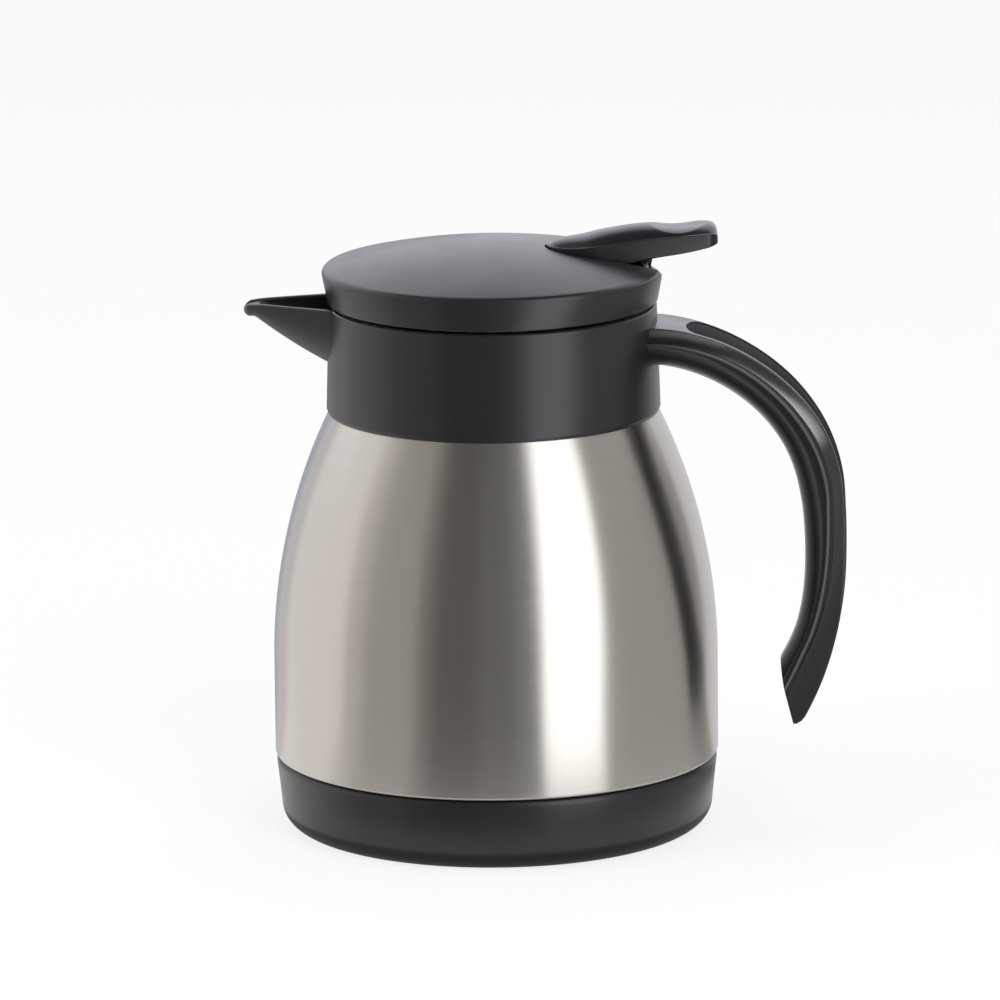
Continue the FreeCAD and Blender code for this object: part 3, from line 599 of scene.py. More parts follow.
@dataclass
class Vessel:
    """Steel shell and black base cap."""

    radius: float = 55.0
    neck_radius: float = 36.6
    neck_height: float = 112.0
    straight_height: float = 42.3
    base_height: float = 18.4
    wall: float = 0.6
    lip_height: float = 116.2
    skirt_radius: float = 52.6
    skirt_low: float = 9.0
    hem: float = 0.8
    groove_drop: float = 5.6
    groove_outside: Snap = (-0.5, 0.3, 0.7)
    groove_inside: Snap = (-0.5, 0.4, 0.7)
    bead_rise: float = 1.9
    bead_outside: Snap = (0.6, 0.3, 0.6)
    bead_inside: Snap = (0.6, 0.2, 0.7)
    seam: float = 0.2
    cap_taper: float = 1.3
    cap_bend: float = 6.0
    cap_floor: float = 2.0
    cap_edge: float = 1.5
    cap_lip: float = 0.2
    cap_bead: Snap = (-0.4, 0.3, 0.8)
    cap_seat_gap: float = 0.3
    cap_step: Point = (1.8, 2.5)
    cap_well: float = 5.3

    def __post_init__(self) -> None:
        """Works out the shoulder arc and the heights of the snap groove and bead."""
        inset = self.radius - self.neck_radius
        rise = self.neck_height - self.straight_height
        self.shoulder_radius = (rise ** 2 + inset ** 2) / (2 * inset)
        self.shoulder_centre = (self.radius - self.shoulder_radius, self.straight_height)
        self.groove = self.base_height - self.groove_drop
        self.bead = self.neck_height + self.bead_rise

    def shoulder_height(self, inset: float, radius: float) -> float:
        """Height at which the shoulder arc, moved inwards, reaches a radius."""
        arc = self.shoulder_radius - inset
        return self.straight_height + math.sqrt(arc ** 2 - (radius - self.shoulder_centre[0]) ** 2)

    def shoulder(self, inset: float, top_radius: float, steps: int = 64) -> list[Point]:
        """Points of the shoulder arc from the straight wall up.

        Args:
            inset: How far the arc is moved inwards.
            top_radius: Radius at which it ends.
            steps: Number of steps.

        Returns:
            The points.
        """
        arc = self.shoulder_radius - inset
        end = math.degrees(math.acos((top_radius - self.shoulder_centre[0]) / arc))
        return arc_points(self.shoulder_centre, arc, 0, end, steps)

    def shell(self) -> None:
        """Spins the outer shell and marks its height for the brushing."""
        neck, skirt, body = [radius - self.wall
                             for radius in (self.neck_radius, self.skirt_radius, self.radius)]
        outside = [
            (self.skirt_radius, self.skirt_low),
            *notch(self.skirt_radius, self.groove, self.groove_outside),
            (self.skirt_radius, self.base_height), (self.radius, self.base_height, self.hem),
            *self.shoulder(0.0, self.neck_radius),
            *notch(self.neck_radius, self.bead, self.bead_outside),
            (self.neck_radius, self.lip_height),
        ]
        inside = [
            (skirt, self.skirt_low),
            *notch(skirt, self.groove, self.groove_inside),
            (skirt, self.base_height + self.wall), (body, self.base_height + self.wall),
            *self.shoulder(self.wall, neck),
            *notch(neck, self.bead, self.bead_inside),
            (neck, self.lip_height),
        ]
        mesh = lathe(rounded(outside + inside[::-1]))
        self.mark_height(mesh)
        finished("shell_brushed", mesh, "pot", "outer_shell", BRUSHED_STEEL)

    def mark_height(self, mesh: BMesh) -> None:
        """Adds the UV map that gives the way in which the highlights stretch.

        Args:
            mesh: The shell, which is changed.
        """
        layer = mesh.loops.layers.uv.new(HEIGHT_MAP)
        for face in mesh.faces:
            turns = [math.atan2(loop.vert.co.y, loop.vert.co.x) / math.tau for loop in face.loops]
            wraps = max(turns) - min(turns) > 0.5
            for loop, turn in zip(face.loops, turns):
                around = turn + 1 if wraps and turn < 0 else turn
                loop[layer].uv = (loop.vert.co.z / self.lip_height, around)

    def cap(self) -> None:
        """Spins the base cap."""
        inner = self.skirt_radius + self.seam
        top = self.base_height - self.seam
        top_radius = self.radius - self.seam
        foot = top_radius - self.cap_taper - self.cap_bend
        seat = self.skirt_low - self.cap_seat_gap
        step = inner - self.cap_step[0]
        outline = [
            (0.0, 0.0), *arc_points((foot, self.cap_bend), self.cap_bend, -90, 0, steps=16),
            (top_radius, top, self.cap_edge), (inner, top, self.cap_lip),
            *notch(inner, self.groove, self.cap_bead)[::-1],
            (inner, seat), (step, seat), (step, seat - self.cap_step[1]),
            (inner - self.cap_well, self.cap_floor), (0.0, self.cap_floor),
        ]
        finished("cap_satin", lathe(rounded(outline)), "pot", "base_cap",
                 SATIN_BLACK)

    def build(self) -> None:
        """Builds both pieces."""
        self.shell()
        self.cap()


@dataclass
class Collar:
    """Black collar ring with the pouring spout and the female thread.

    Each step of a screw's hole has its start, end and two radii, measured from the head's seat.
    """

    vessel: Vessel
    low_radius: float = 41.2
    top_radius: float = 40.4
    edge: float = 0.4
    edge_rise: float = 0.9
    edge_round: float = 0.3
    rounding: float = 0.6
    bore: float = 36.85
    bead_groove: Snap = (0.6, 0.4, 0.7)
    thread_wall: float = 37.0
    ledge_radius: float = 35.6
    ledge_low: float = 117.7
    ledge_high: float = 119.3
    ledge_round: float = 0.2
    rib_low: float = 123.9
    rib_lead: float = 16.0
    rib_sweep: float = 100.0
    rib_steps: int = 40
    rib_starts: Point = (40.0, 220.0)
    rib_section: Table = ((37.5, -1.3), (35.1, -0.8), (35.1, 0.8), (37.5, 1.3))
    spout_start: float = 33.0
    spout_pitch: float = 0.35
    spout_steps: tuple[int, int] = (40, 24)
    spout_root: float = 38.5
    spout_root_half: float = 12.5
    spout_tip_half: float = 3.0
    spout_root_keel: float = 115.0
    spout_lip_keel: float = 127.4
    spout_lip: float = 2.9
    spout_sag: float = 0.7
    spout_nod: float = 0.5
    spout_nod_length: float = 6.0
    spout_walls: Point = (2.5, 1.8)
    wall_taper: float = 2.2
    trough_steps: int = 40
    trough_power: float = 0.85
    rim_share: float = 0.25
    rim_drop: float = 0.02
    rim_steps: int = 8
    channel_floor: float = 119.75
    channel_power: float = 1.1
    channel_lip: float = 0.5
    channel_end: float = 3.6
    channel_close: float = 2.0
    channel_least: Point = (0.3, 0.02)
    channel_reaches: Place = (33.0, 37.0, 42.5)
    channel_side: float = 1.6
    channel_gap: float = 0.4
    channel_over: float = 3.0
    tip_bead: float = 1.6
    tip_steps: int = 8
    tip_turn: float = 10.8
    bore_span: Point = (95.0, 145.0)
    bore_gap: float = 0.02
    screw_spread: float = 6.5
    screw_height: float = 122.3
    screw_inner: float = 3.8
    screw_gap: float = 0.05
    screw_hole: tuple[Row, ...] = (
        (-3.0, 0.0, 2.75, 2.75), (-0.01, 1.6, 2.62, 1.52), (1.5, 10.6, 1.52, 1.52))

    def __post_init__(self) -> None:
        """Takes top and spout tip from the frame, and the foot's height from the shoulder."""
        low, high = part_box("collar")
        self.top = high.z / MM
        self.tip = -low.x / MM
        self.foot = self.low_radius - self.edge
        self.low = self.vessel.shoulder_height(-self.vessel.seam, self.foot)

    def ring(self) -> BMesh:
        """Spins the ring that sits on the shoulder and holds the lid.

        Returns:
            The ring.
        """
        vessel = self.vessel
        shoulder = vessel.shoulder(-vessel.seam, self.bore, steps=240)
        return lathe(rounded([
            (self.foot, self.low), (self.low_radius, self.low + self.edge_rise, self.edge_round),
            (self.top_radius, self.top, self.rounding),
            (self.thread_wall, self.top, self.edge_round),
            (self.thread_wall, self.ledge_high),
            (self.ledge_radius, self.ledge_high, self.ledge_round),
            (self.ledge_radius, self.ledge_low), (self.bore, self.ledge_low),
            *notch(self.bore, vessel.bead, self.bead_groove)[::-1],
            *[point for point in shoulder[::-1] if point[0] < self.foot],
        ]))

    def rib(self, start: float) -> BMesh:
        """Screws one thread rib up.

        Args:
            start: Angle of its lower end in degrees.

        Returns:
            The rib.
        """
        mesh = bmesh.new()
        turn = Matrix.Rotation(math.radians(start), 4, "Z")
        verts = [mesh.verts.new(turn @ Vector((radius, 0, self.rib_low + rise)))
                 for radius, rise in self.rib_section]
        rise = self.rib_lead * self.rib_sweep / 360 / self.rib_steps
        swept = bmesh.ops.spin(
            mesh, geom=verts + ring_edges(mesh, verts), cent=(0, 0, 0), axis=(0, 0, 1),
            dvec=(0, 0, rise), angle=math.radians(self.rib_sweep), steps=self.rib_steps)
        mesh.faces.new(verts)
        bmesh.ops.contextual_create(
            mesh, geom=[item for item in swept["geom_last"] if isinstance(item, BMVert)])
        return tidied(mesh)

    def spout_station(self, reach: float) -> Point:
        """Half width and keel height of the spout.

        Args:
            reach: Distance from the axis.

        Returns:
            The half width, and the height of the keel.
        """
        reach = max(reach, self.spout_root)
        t = (reach - self.spout_root) / (self.tip - self.spout_root)
        half = self.spout_root_half + (self.spout_tip_half - self.spout_root_half) * t
        s = min((reach - self.spout_root) / (self.tip - self.spout_lip - self.spout_root), 1.0)
        keel = self.spout_root_keel + (self.spout_lip_keel - self.spout_root_keel) * s
        return half, keel - 4 * self.spout_sag * s * (1 - s)

    def trough(self, reach: float, half: float, keel: float, top: float) -> list[Vector]:
        """A U-shaped line across the spout, from one rim down and up to the other.

        Args:
            reach: Distance from the axis.
            half: Half width at the rim.
            keel: Height of its lowest point.
            top: Height of its ends.

        Returns:
            The points, from -Y to +Y.
        """
        points = []
        for step in range(self.trough_steps + 1):
            angle = math.pi * step / self.trough_steps
            down = math.sin(angle) ** self.trough_power
            points.append(Vector((-reach, -half * math.cos(angle), top - (top - keel) * down)))
        return points

    def rim(self, start: Vector, end: Vector, rise: float) -> list[Vector]:
        """Points between the two edges of a rim, over its round top.

        Args:
            start: First edge.
            end: Other edge.
            rise: Height of the rim's middle above them.

        Returns:
            The points, without the edges.
        """
        middle, out = (start + end) / 2, (start - end) / 2
        angles = [math.pi * step / self.rim_steps for step in range(1, self.rim_steps)]
        return [middle + out * math.cos(a) + Vector((0, 0, rise * math.sin(a))) for a in angles]

    def spout_loop(self, reach: float, scale: float) -> list[Vector]:
        """Outline across the spout: outer wall, rim, channel and rim.

        Args:
            reach: Distance from the axis.
            scale: Size of the outline, which shrinks over the bead at the tip.

        Returns:
            The ring of points.
        """
        half, keel = self.spout_station(reach)
        along = min(max((reach - self.spout_root) / (self.tip - self.spout_root), 0.0), 1.0)
        thick, thin = self.spout_walls
        wall = thick + (thin - thick) * min(along * self.wall_taper, 1.0)
        rise = wall * self.rim_share
        nod = max(reach - self.tip + self.spout_nod_length, 0.0) / self.spout_nod_length
        crest = self.top - self.rim_drop - self.spout_nod * nod ** 2
        edge = crest - rise
        deep = crest - self.channel_lip - self.channel_floor
        floor = self.channel_floor + deep * along ** self.channel_power
        closing = min(max((self.tip - self.channel_end - reach) / self.channel_close, 0.0), 1.0)
        least_half, least_depth = self.channel_least
        depth = max((edge - floor) * closing, least_depth)
        outer = self.trough(reach, half, keel, edge)
        inner = self.trough(reach, max(half - wall, least_half), edge - depth, edge)
        loop = outer + self.rim(outer[-1], inner[-1], rise)
        loop += inner[::-1] + self.rim(inner[0], outer[0], rise)
        heart = Vector((-reach, 0.0, (crest + keel) / 2))
        return [heart + (point - heart) * scale for point in loop]

    def spout(self) -> BMesh:
        """Draws the spout as a trough with a round rim and a bead at its tip.

        Returns:
            The spout, cut off at the thread's wall.
        """
        near, far = self.spout_steps
        bead = self.tip - self.tip_bead
        stations = [(self.spout_start + self.spout_pitch * i, 1.0) for i in range(near)]
        last = stations[-1][0]
        stations += [(last + (bead - last) * i / far, 1.0) for i in range(1, far + 1)]
        for step in range(1, self.tip_steps + 1):
            angle = math.radians(step * self.tip_turn)
            stations.append((bead + self.tip_bead * math.sin(angle), math.cos(angle)))
        low, high = self.bore_span
        bore = rod((0, 0, low), (0, 0, high), self.thread_wall + self.bore_gap,
                   segments=ROUND_STEPS)
        return joined(drawn([self.spout_loop(*station) for station in stations]), Join.CUT, bore)

    def channel(self) -> BMesh:
        """Draws the space that the spout's trough takes out of the ring.

        Returns:
            The space.
        """
        return drawn([
            self.trough(reach, self.spout_station(reach)[0] - self.channel_side,
                        self.channel_floor - self.channel_gap, self.top + self.channel_over)
            for reach in self.channel_reaches])

    def build(self) -> None:
        """Joins ring, spout and thread ribs, and sinks the screw heads."""
        seat = math.sqrt(self.thread_wall ** 2 - self.screw_inner ** 2) + self.screw_gap
        height = self.screw_height
        holes = [rod((seat + start, y, height), (seat + end, y, height), *radii)
                 for y in (-self.screw_spread, self.screw_spread)
                 for start, end, *radii in self.screw_hole]
        mesh = joined(self.ring(), Join.CUT, self.channel())
        mesh = joined(mesh, Join.ADD, self.spout(), *[self.rib(start) for start in self.rib_starts])
        mesh = joined(mesh, Join.CUT, *holes)
        finished("collar_spouted", mesh, "pot", "collar", SATIN_BLACK)


@dataclass
class Handle:
    """Open C handle with the inlay in its spine.

    The spine follows two arcs that meet smoothly. Sizes that change along the handle are given
    by angle in degrees, from its lower end up to the collar, and are blended between. The two
    ends of the slanted cut are given by radius and angle on the flatter arc.
    """

    collar: Collar
    bend_centre: Point = (37.1, 77.0)
    bend_radius: float = 49.7
    flat_radius: float = 94.3
    bend_start: float = 92.0
    bend_end: float = 5.0
    flat_end: float = -30.4
    swell: Table = (
        (-30.4, -1.6), (-29.8, 0.1), (-29, 0.95), (-28, 1.25), (-19, 1.15), (-9, 0.5), (-2, -0.03),
        (4, -0.03), (14, 0.6), (26, 1.05), (38, 1.0), (60, 0.45), (92, 0.1))
    spine_halves: Table = (
        (-30, 4.8), (20, 5.0), (33, 5.6), (45, 6.6), (62, 7.5), (76, 8.6), (92, 10.2))
    ridge_halves: Table = (
        (-30, 10.0), (0, 10.8), (45, 11.0), (66, 11.3), (80, 12.0), (92, 12.8))
    ridge_depths: Table = (
        (-30, 8.0), (-20, 7.3), (-15, 6.0), (-10, 4.9), (-3, 3.6), (5, 2.8), (12, 2.6), (40, 3.0),
        (60, 3.1), (75, 3.4), (92, 3.7))
    ridge_edges: Table = ((-30, 2.0), (10, 1.8), (45, 1.5), (75, 1.0), (92, 0.7))
    belly_depths: Table = (
        (-30, 12.5), (-21, 10.4), (-14, 9.4), (0, 10.2), (10, 10.5), (30, 10.2), (60, 10.5),
        (92, 10.4))
    belly_share: float = 0.8
    spine_edge: float = 0.4
    cove_end: float = 20.0
    cove_pitch: float = 0.1
    cove_steps: int = 8
    grip_steps: tuple[int, int] = (72, 48)
    cut_ends: Table = ((83.7, -21.2), (94.0, -30.0))
    tip_height: float = 50.0
    tip_round: float = 0.6
    tip_angle: float = 25.0
    tip_touch: float = 1e-3
    collar_gap: float = 0.03
    inlay_border: float = 1.2
    inlay_thick: float = 1.2
    inlay_sunk: float = 0.25
    inlay_crown: float = 0.3
    inlay_gap: float = 0.15
    inlay_over: float = 2.0
    inlay_start: float = 77.5
    inlay_end: float = -27.0
    inlay_round: float = 3.6
    inlay_least: float = 0.02
    inlay_steps: tuple[int, int] = (60, 40)
    inlay_across: int = 12
    end_shares: Row = (0.003, 0.02, 0.06, 0.13, 0.22, 0.34, 0.48, 0.65, 0.83)

    def __post_init__(self) -> None:
        """Works out the centre of the flatter arc, which carries on smoothly from the bend."""
        shift = self.flat_radius - self.bend_radius
        angle = math.radians(self.bend_end)
        self.flat_centre = (self.bend_centre[0] - shift * math.cos(angle),
                            self.bend_centre[1] - shift * math.sin(angle))

    def place(self, angle: float, across: float, depth: float) -> Vector:
        """A point on the handle.

        Args:
            angle: Angle along the handle in degrees.
            across: Distance from the middle plane.
            depth: Distance inwards from the spine's arc.

        Returns:
            The point.
        """
        upper = angle >= self.bend_end
        centre = self.bend_centre if upper else self.flat_centre
        radius = (self.bend_radius if upper else self.flat_radius) - depth
        turn = math.radians(angle)
        return Vector((centre[0] + radius * math.cos(turn), across,
                       centre[1] + radius * math.sin(turn)))

    def section(self, angle: float) -> list[Vector]:
        """Outline across the grip: flat spine, coves, ridges and a round belly.

        Args:
            angle: Angle along the handle in degrees.

        Returns:
            The ring of points.
        """
        spine, ridge, swell, drop, belly, edge = [blended(angle, table) for table in (
            self.spine_halves, self.ridge_halves, self.swell, self.ridge_depths,
            self.belly_depths, self.ridge_edges)]
        low = drop - swell
        rise = belly - low
        radius = (ridge ** 2 + rise ** 2) / (2 * rise)
        spread = math.degrees(math.asin(ridge / radius))
        wide, fall = ridge - spine, drop - self.spine_edge
        steep = 2 - math.tan(math.radians(self.cove_end)) * wide / fall
        corners: list[Corner] = [(spine, -swell, self.spine_edge)]
        for step in range(self.cove_steps):
            out = self.cove_pitch * step
            down = out * (steep + (1 - steep) * out)
            corners.append((spine + wide * out, self.spine_edge - swell + fall * down))
        corners.append((ridge, low, edge))
        arc = arc_points((belly - radius, 0.0), radius, spread * self.belly_share, 0, steps=14)
        corners += [(across, depth) for depth, across in arc]
        mirrored = [(-across, *rest) for across, *rest in corners[-2::-1]]
        return [self.place(angle, v, d) for v, d in rounded(corners + mirrored, steps=6)]

    def angles(self, start: float, end: float, steps: tuple[int, int]) -> list[float]:
        """Angles of the stations along both arcs.

        Args:
            start: First angle in degrees.
            end: Last angle in degrees.
            steps: Steps along the bend and along the flatter arc.

        Returns:
            The angles, from high to low.
        """
        upper, lower = steps
        bend = [start + (self.bend_end - start) * i / upper for i in range(upper)]
        return bend + [self.bend_end + (end - self.bend_end) * i / lower for i in range(lower + 1)]

    def cut_tip(self, mesh: BMesh) -> None:
        """Cuts the slanted end and rounds its edges.

        Args:
            mesh: The grip, which is changed.
        """
        high, low = [self.place(angle, 0.0, self.flat_radius - radius)
                     for radius, angle in self.cut_ends]
        run = low - high
        inwards = Vector((run.z, 0.0, -run.x)).normalized()
        faces = [f for f in mesh.faces if f.calc_center_median().z < self.tip_height]
        edges = dict.fromkeys(e for f in faces for e in f.edges)
        verts = dict.fromkeys(v for f in faces for v in f.verts)
        cut = bmesh.ops.bisect_plane(mesh, geom=[*verts, *edges, *faces], dist=1e-5, plane_co=high,
                                     plane_no=inwards, clear_outer=True)["geom_cut"]
        bmesh.ops.contextual_create(mesh, geom=[e for e in cut if isinstance(e, BMEdge)])
        tidied(mesh)
        sharp = [e for e in mesh.edges if e.calc_face_angle(0.0) > math.radians(self.tip_angle)
                 and max(v.co.z for v in e.verts) < self.tip_height
                 and any(abs((v.co - high).dot(inwards)) < self.tip_touch for v in e.verts)]
        bmesh.ops.bevel(mesh, geom=sharp, offset=self.tip_round, affect="EDGES", segments=3,
                        profile=0.5, material=-1, clamp_overlap=True)
        tidied(mesh)

    def strip(self, grow: float, top: float, bottom: float, crown: float) -> BMesh:
        """A strip along the spine with round ends.

        Args:
            grow: How far it stands outside the inlay's own outline.
            top: Depth of the edges of its outer face below the spine.
            bottom: Depth of its inner face.
            crown: How far its outer face swells in the middle.

        Returns:
            The closed strip.
        """
        start = self.inlay_start + math.degrees(grow / self.bend_radius)
        end = self.inlay_end - math.degrees(grow / self.flat_radius)
        stations = self.angles(start, end, self.inlay_steps)
        for share in self.end_shares:
            length = share * self.inlay_round
            stations.append(start - math.degrees(length / self.bend_radius))
            stations.append(end + math.degrees(length / self.flat_radius))
        loops = []
        for angle in sorted(stations, reverse=True):
            lengths = (math.radians(start - angle) * self.bend_radius,
                       math.radians(angle - end) * self.flat_radius)
            ahead = 1 - min(*lengths, self.inlay_round) / self.inlay_round
            half = blended(angle, self.spine_halves) - self.inlay_border + grow
            wide = half * max(math.sqrt(max(1 - ahead ** 2, 0.0)), self.inlay_least)
            level = -blended(angle, self.swell)
            outline = [(-wide, level + bottom), (wide, level + bottom)]
            for step in range(self.inlay_across + 1):
                v = wide * (1 - 2 * step / self.inlay_across)
                outline.append((v, level + top - crown * (1 - (v / half) ** 2)))
            loops.append([self.place(angle, v, d) for v, d in outline])
        return drawn(loops)

    def grip(self) -> Object:
        """Draws the grip, cuts its tip, fits it to the collar and sinks the groove of the inlay.

        Returns:
            The piece.
        """
        stations = self.angles(self.bend_start, self.flat_end, self.grip_steps)
        mesh = drawn([self.section(angle) for angle in stations])
        self.cut_tip(mesh)
        collar = self.collar
        seat = rod((0, 0, collar.low + collar.edge_rise), (0, 0, collar.top - collar.rounding),
                   collar.low_radius + self.collar_gap, collar.top_radius + self.collar_gap,
                   ROUND_STEPS)
        floor = self.inlay_sunk + self.inlay_thick + self.inlay_gap
        groove = self.strip(self.inlay_gap, -self.inlay_over, floor, 0.0)
        mesh = joined(mesh, Join.CUT, seat, groove)
        return finished("grip_half_gloss", mesh, "pot", "handle", GLOSS_BLACK)

    def inlay(self) -> None:
        """Draws the inlay strip."""
        mesh = self.strip(0.0, self.inlay_sunk, self.inlay_sunk + self.inlay_thick,
                          self.inlay_crown)
        finished("inlay_strip", mesh, "pot", "handle_inlay", INLAY_BLACK)

    def build(self) -> Object:
        """Builds both pieces.

        Returns:
            The grip.
        """
        grip = self.grip()
        self.inlay()
        return grip


@dataclass
class Lid:
    """Domed lid cover with the lever's slot and the ears that hold its pin."""

    turn: float = 7.0
    low_radius: float = 40.7
    low_round: float = 0.3
    rim_radius: float = 42.0
    rounding: float = 1.5
    inner_radius: float = 38.8
    inner_round: float = 0.2
    dome_rise: float = 5.0
    dome_steps: int = 40
    wall: float = 2.2
    catch_height: float = 134.0
    catch: Snap = (0.55, 0.25, 0.15)
    slot_half: float = 8.8
    slot_length: float = 13.1
    slot_centre: float = 26.0
    slot_pitch: int = 4
    slot_over: float = 2.0
    channel_depth: float = 1.6
    relief: Point = (-6.5, 12.5)
    relief_drop: float = 1.7
    relief_inset: float = 0.2
    pivot_reach: float = 22.0
    pivot_height: float = 136.2
    pin_half: float = 15.0
    pin_bore: float = 1.52
    ear_span: Point = (9.2, 12.2)
    ear_half: float = 3.0
    ear_drop: float = 2.7
    ear_rise: float = 1.8

    def __post_init__(self) -> None:
        """Takes the heights from the frame and works out the dome."""
        low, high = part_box("lid_cover")
        self.bottom = low.z / MM
        self.top = high.z / MM
        self.dome_edge = self.top - self.dome_rise
        self.edge = self.rim_radius - self.rounding
        self.dome_radius = (self.edge ** 2 + self.dome_rise ** 2) / (2 * self.dome_rise)
        self.spin = Matrix.Rotation(math.radians(self.turn), 3, "Z")

    def turned(self, mesh: BMesh) -> BMesh:
        """Turns a mesh to the angle at which the lid is closed."""
        bmesh.ops.rotate(mesh, cent=(0, 0, 0), matrix=self.spin, verts=mesh.verts)
        return mesh

    def dome_height(self, inset: float, radius: float) -> float:
        """Height of the dome, moved inwards, at a distance from the axis."""
        rise = math.sqrt((self.dome_radius - inset) ** 2 - radius ** 2)
        return self.top - self.dome_radius + rise

    def slot_plan(self, grow: float, end: float) -> list[Point]:
        """Plan of the slot: a half ellipse and straight sides.

        Args:
            grow: How far the outline stands outside the slot's own.
            end: Where the straight sides end.

        Returns:
            The outline, in the lever's own direction.
        """
        half, length = self.slot_half + grow, self.slot_length + grow
        angles = [math.radians(a) for a in range(0, 181, self.slot_pitch)]
        nose = [(self.slot_centre - length * math.sin(a), half * math.cos(a)) for a in angles]
        return [(end, half), *nose, (end, -half)]

    def pin(self, half: float, radius: float) -> BMesh:
        """A bar along the lever's pin, of half its length and its radius."""
        return rod((self.pivot_reach, -half, self.pivot_height),
                   (self.pivot_reach, half, self.pivot_height), radius)

    def cover(self) -> BMesh:
        """Spins the cover, with its rim's rounding tangent to the dome and a catch inside.

        Returns:
            The cover.
        """
        steps = self.dome_steps
        lean = math.asin(self.edge / (self.dome_radius - self.rounding))
        reaches = [self.dome_radius * math.sin(lean) * (1 - i / steps) for i in range(1, steps + 1)]
        unders = [self.inner_radius * i / steps for i in range(steps + 1)]
        return lathe(rounded([
            *[(reach, self.dome_height(self.wall, reach)) for reach in unders],
            *notch(self.inner_radius, self.catch_height, self.catch)[::-1],
            (self.inner_radius, self.bottom, self.inner_round),
            (self.low_radius, self.bottom, self.low_round),
            *arc_points((self.edge, self.dome_height(self.rounding, self.edge)), self.rounding,
                        0, 90 - math.degrees(lean), steps=12),
            *[(reach, self.dome_height(0.0, reach)) for reach in reaches],
        ]))

    def build(self) -> None:
        """Adds the ears to the cover, and cuts slot, relief and pin bore."""
        ears = [block((self.pivot_reach - self.ear_half, low, self.pivot_height - self.ear_drop),
                      (self.pivot_reach + self.ear_half, high, self.dome_edge + self.ear_rise))
                for low, high in both_sides(self.ear_span)]
        floor = self.dome_edge - self.channel_depth
        past = self.rim_radius + self.slot_over
        slot = upright(self.slot_plan(0.0, past), floor, self.top + self.slot_over)
        relief = block((self.inner_radius - self.relief_inset, self.relief[0],
                        floor - self.relief_drop), (past, self.relief[1], self.top))
        mesh = joined(self.cover(), Join.ADD, *ears)
        mesh = joined(mesh, Join.CUT, slot, relief, self.pin(self.pin_half, self.pin_bore))
        finished("lid_domed", self.turned(mesh), "lid", "lid_cover", SATIN_BLACK)


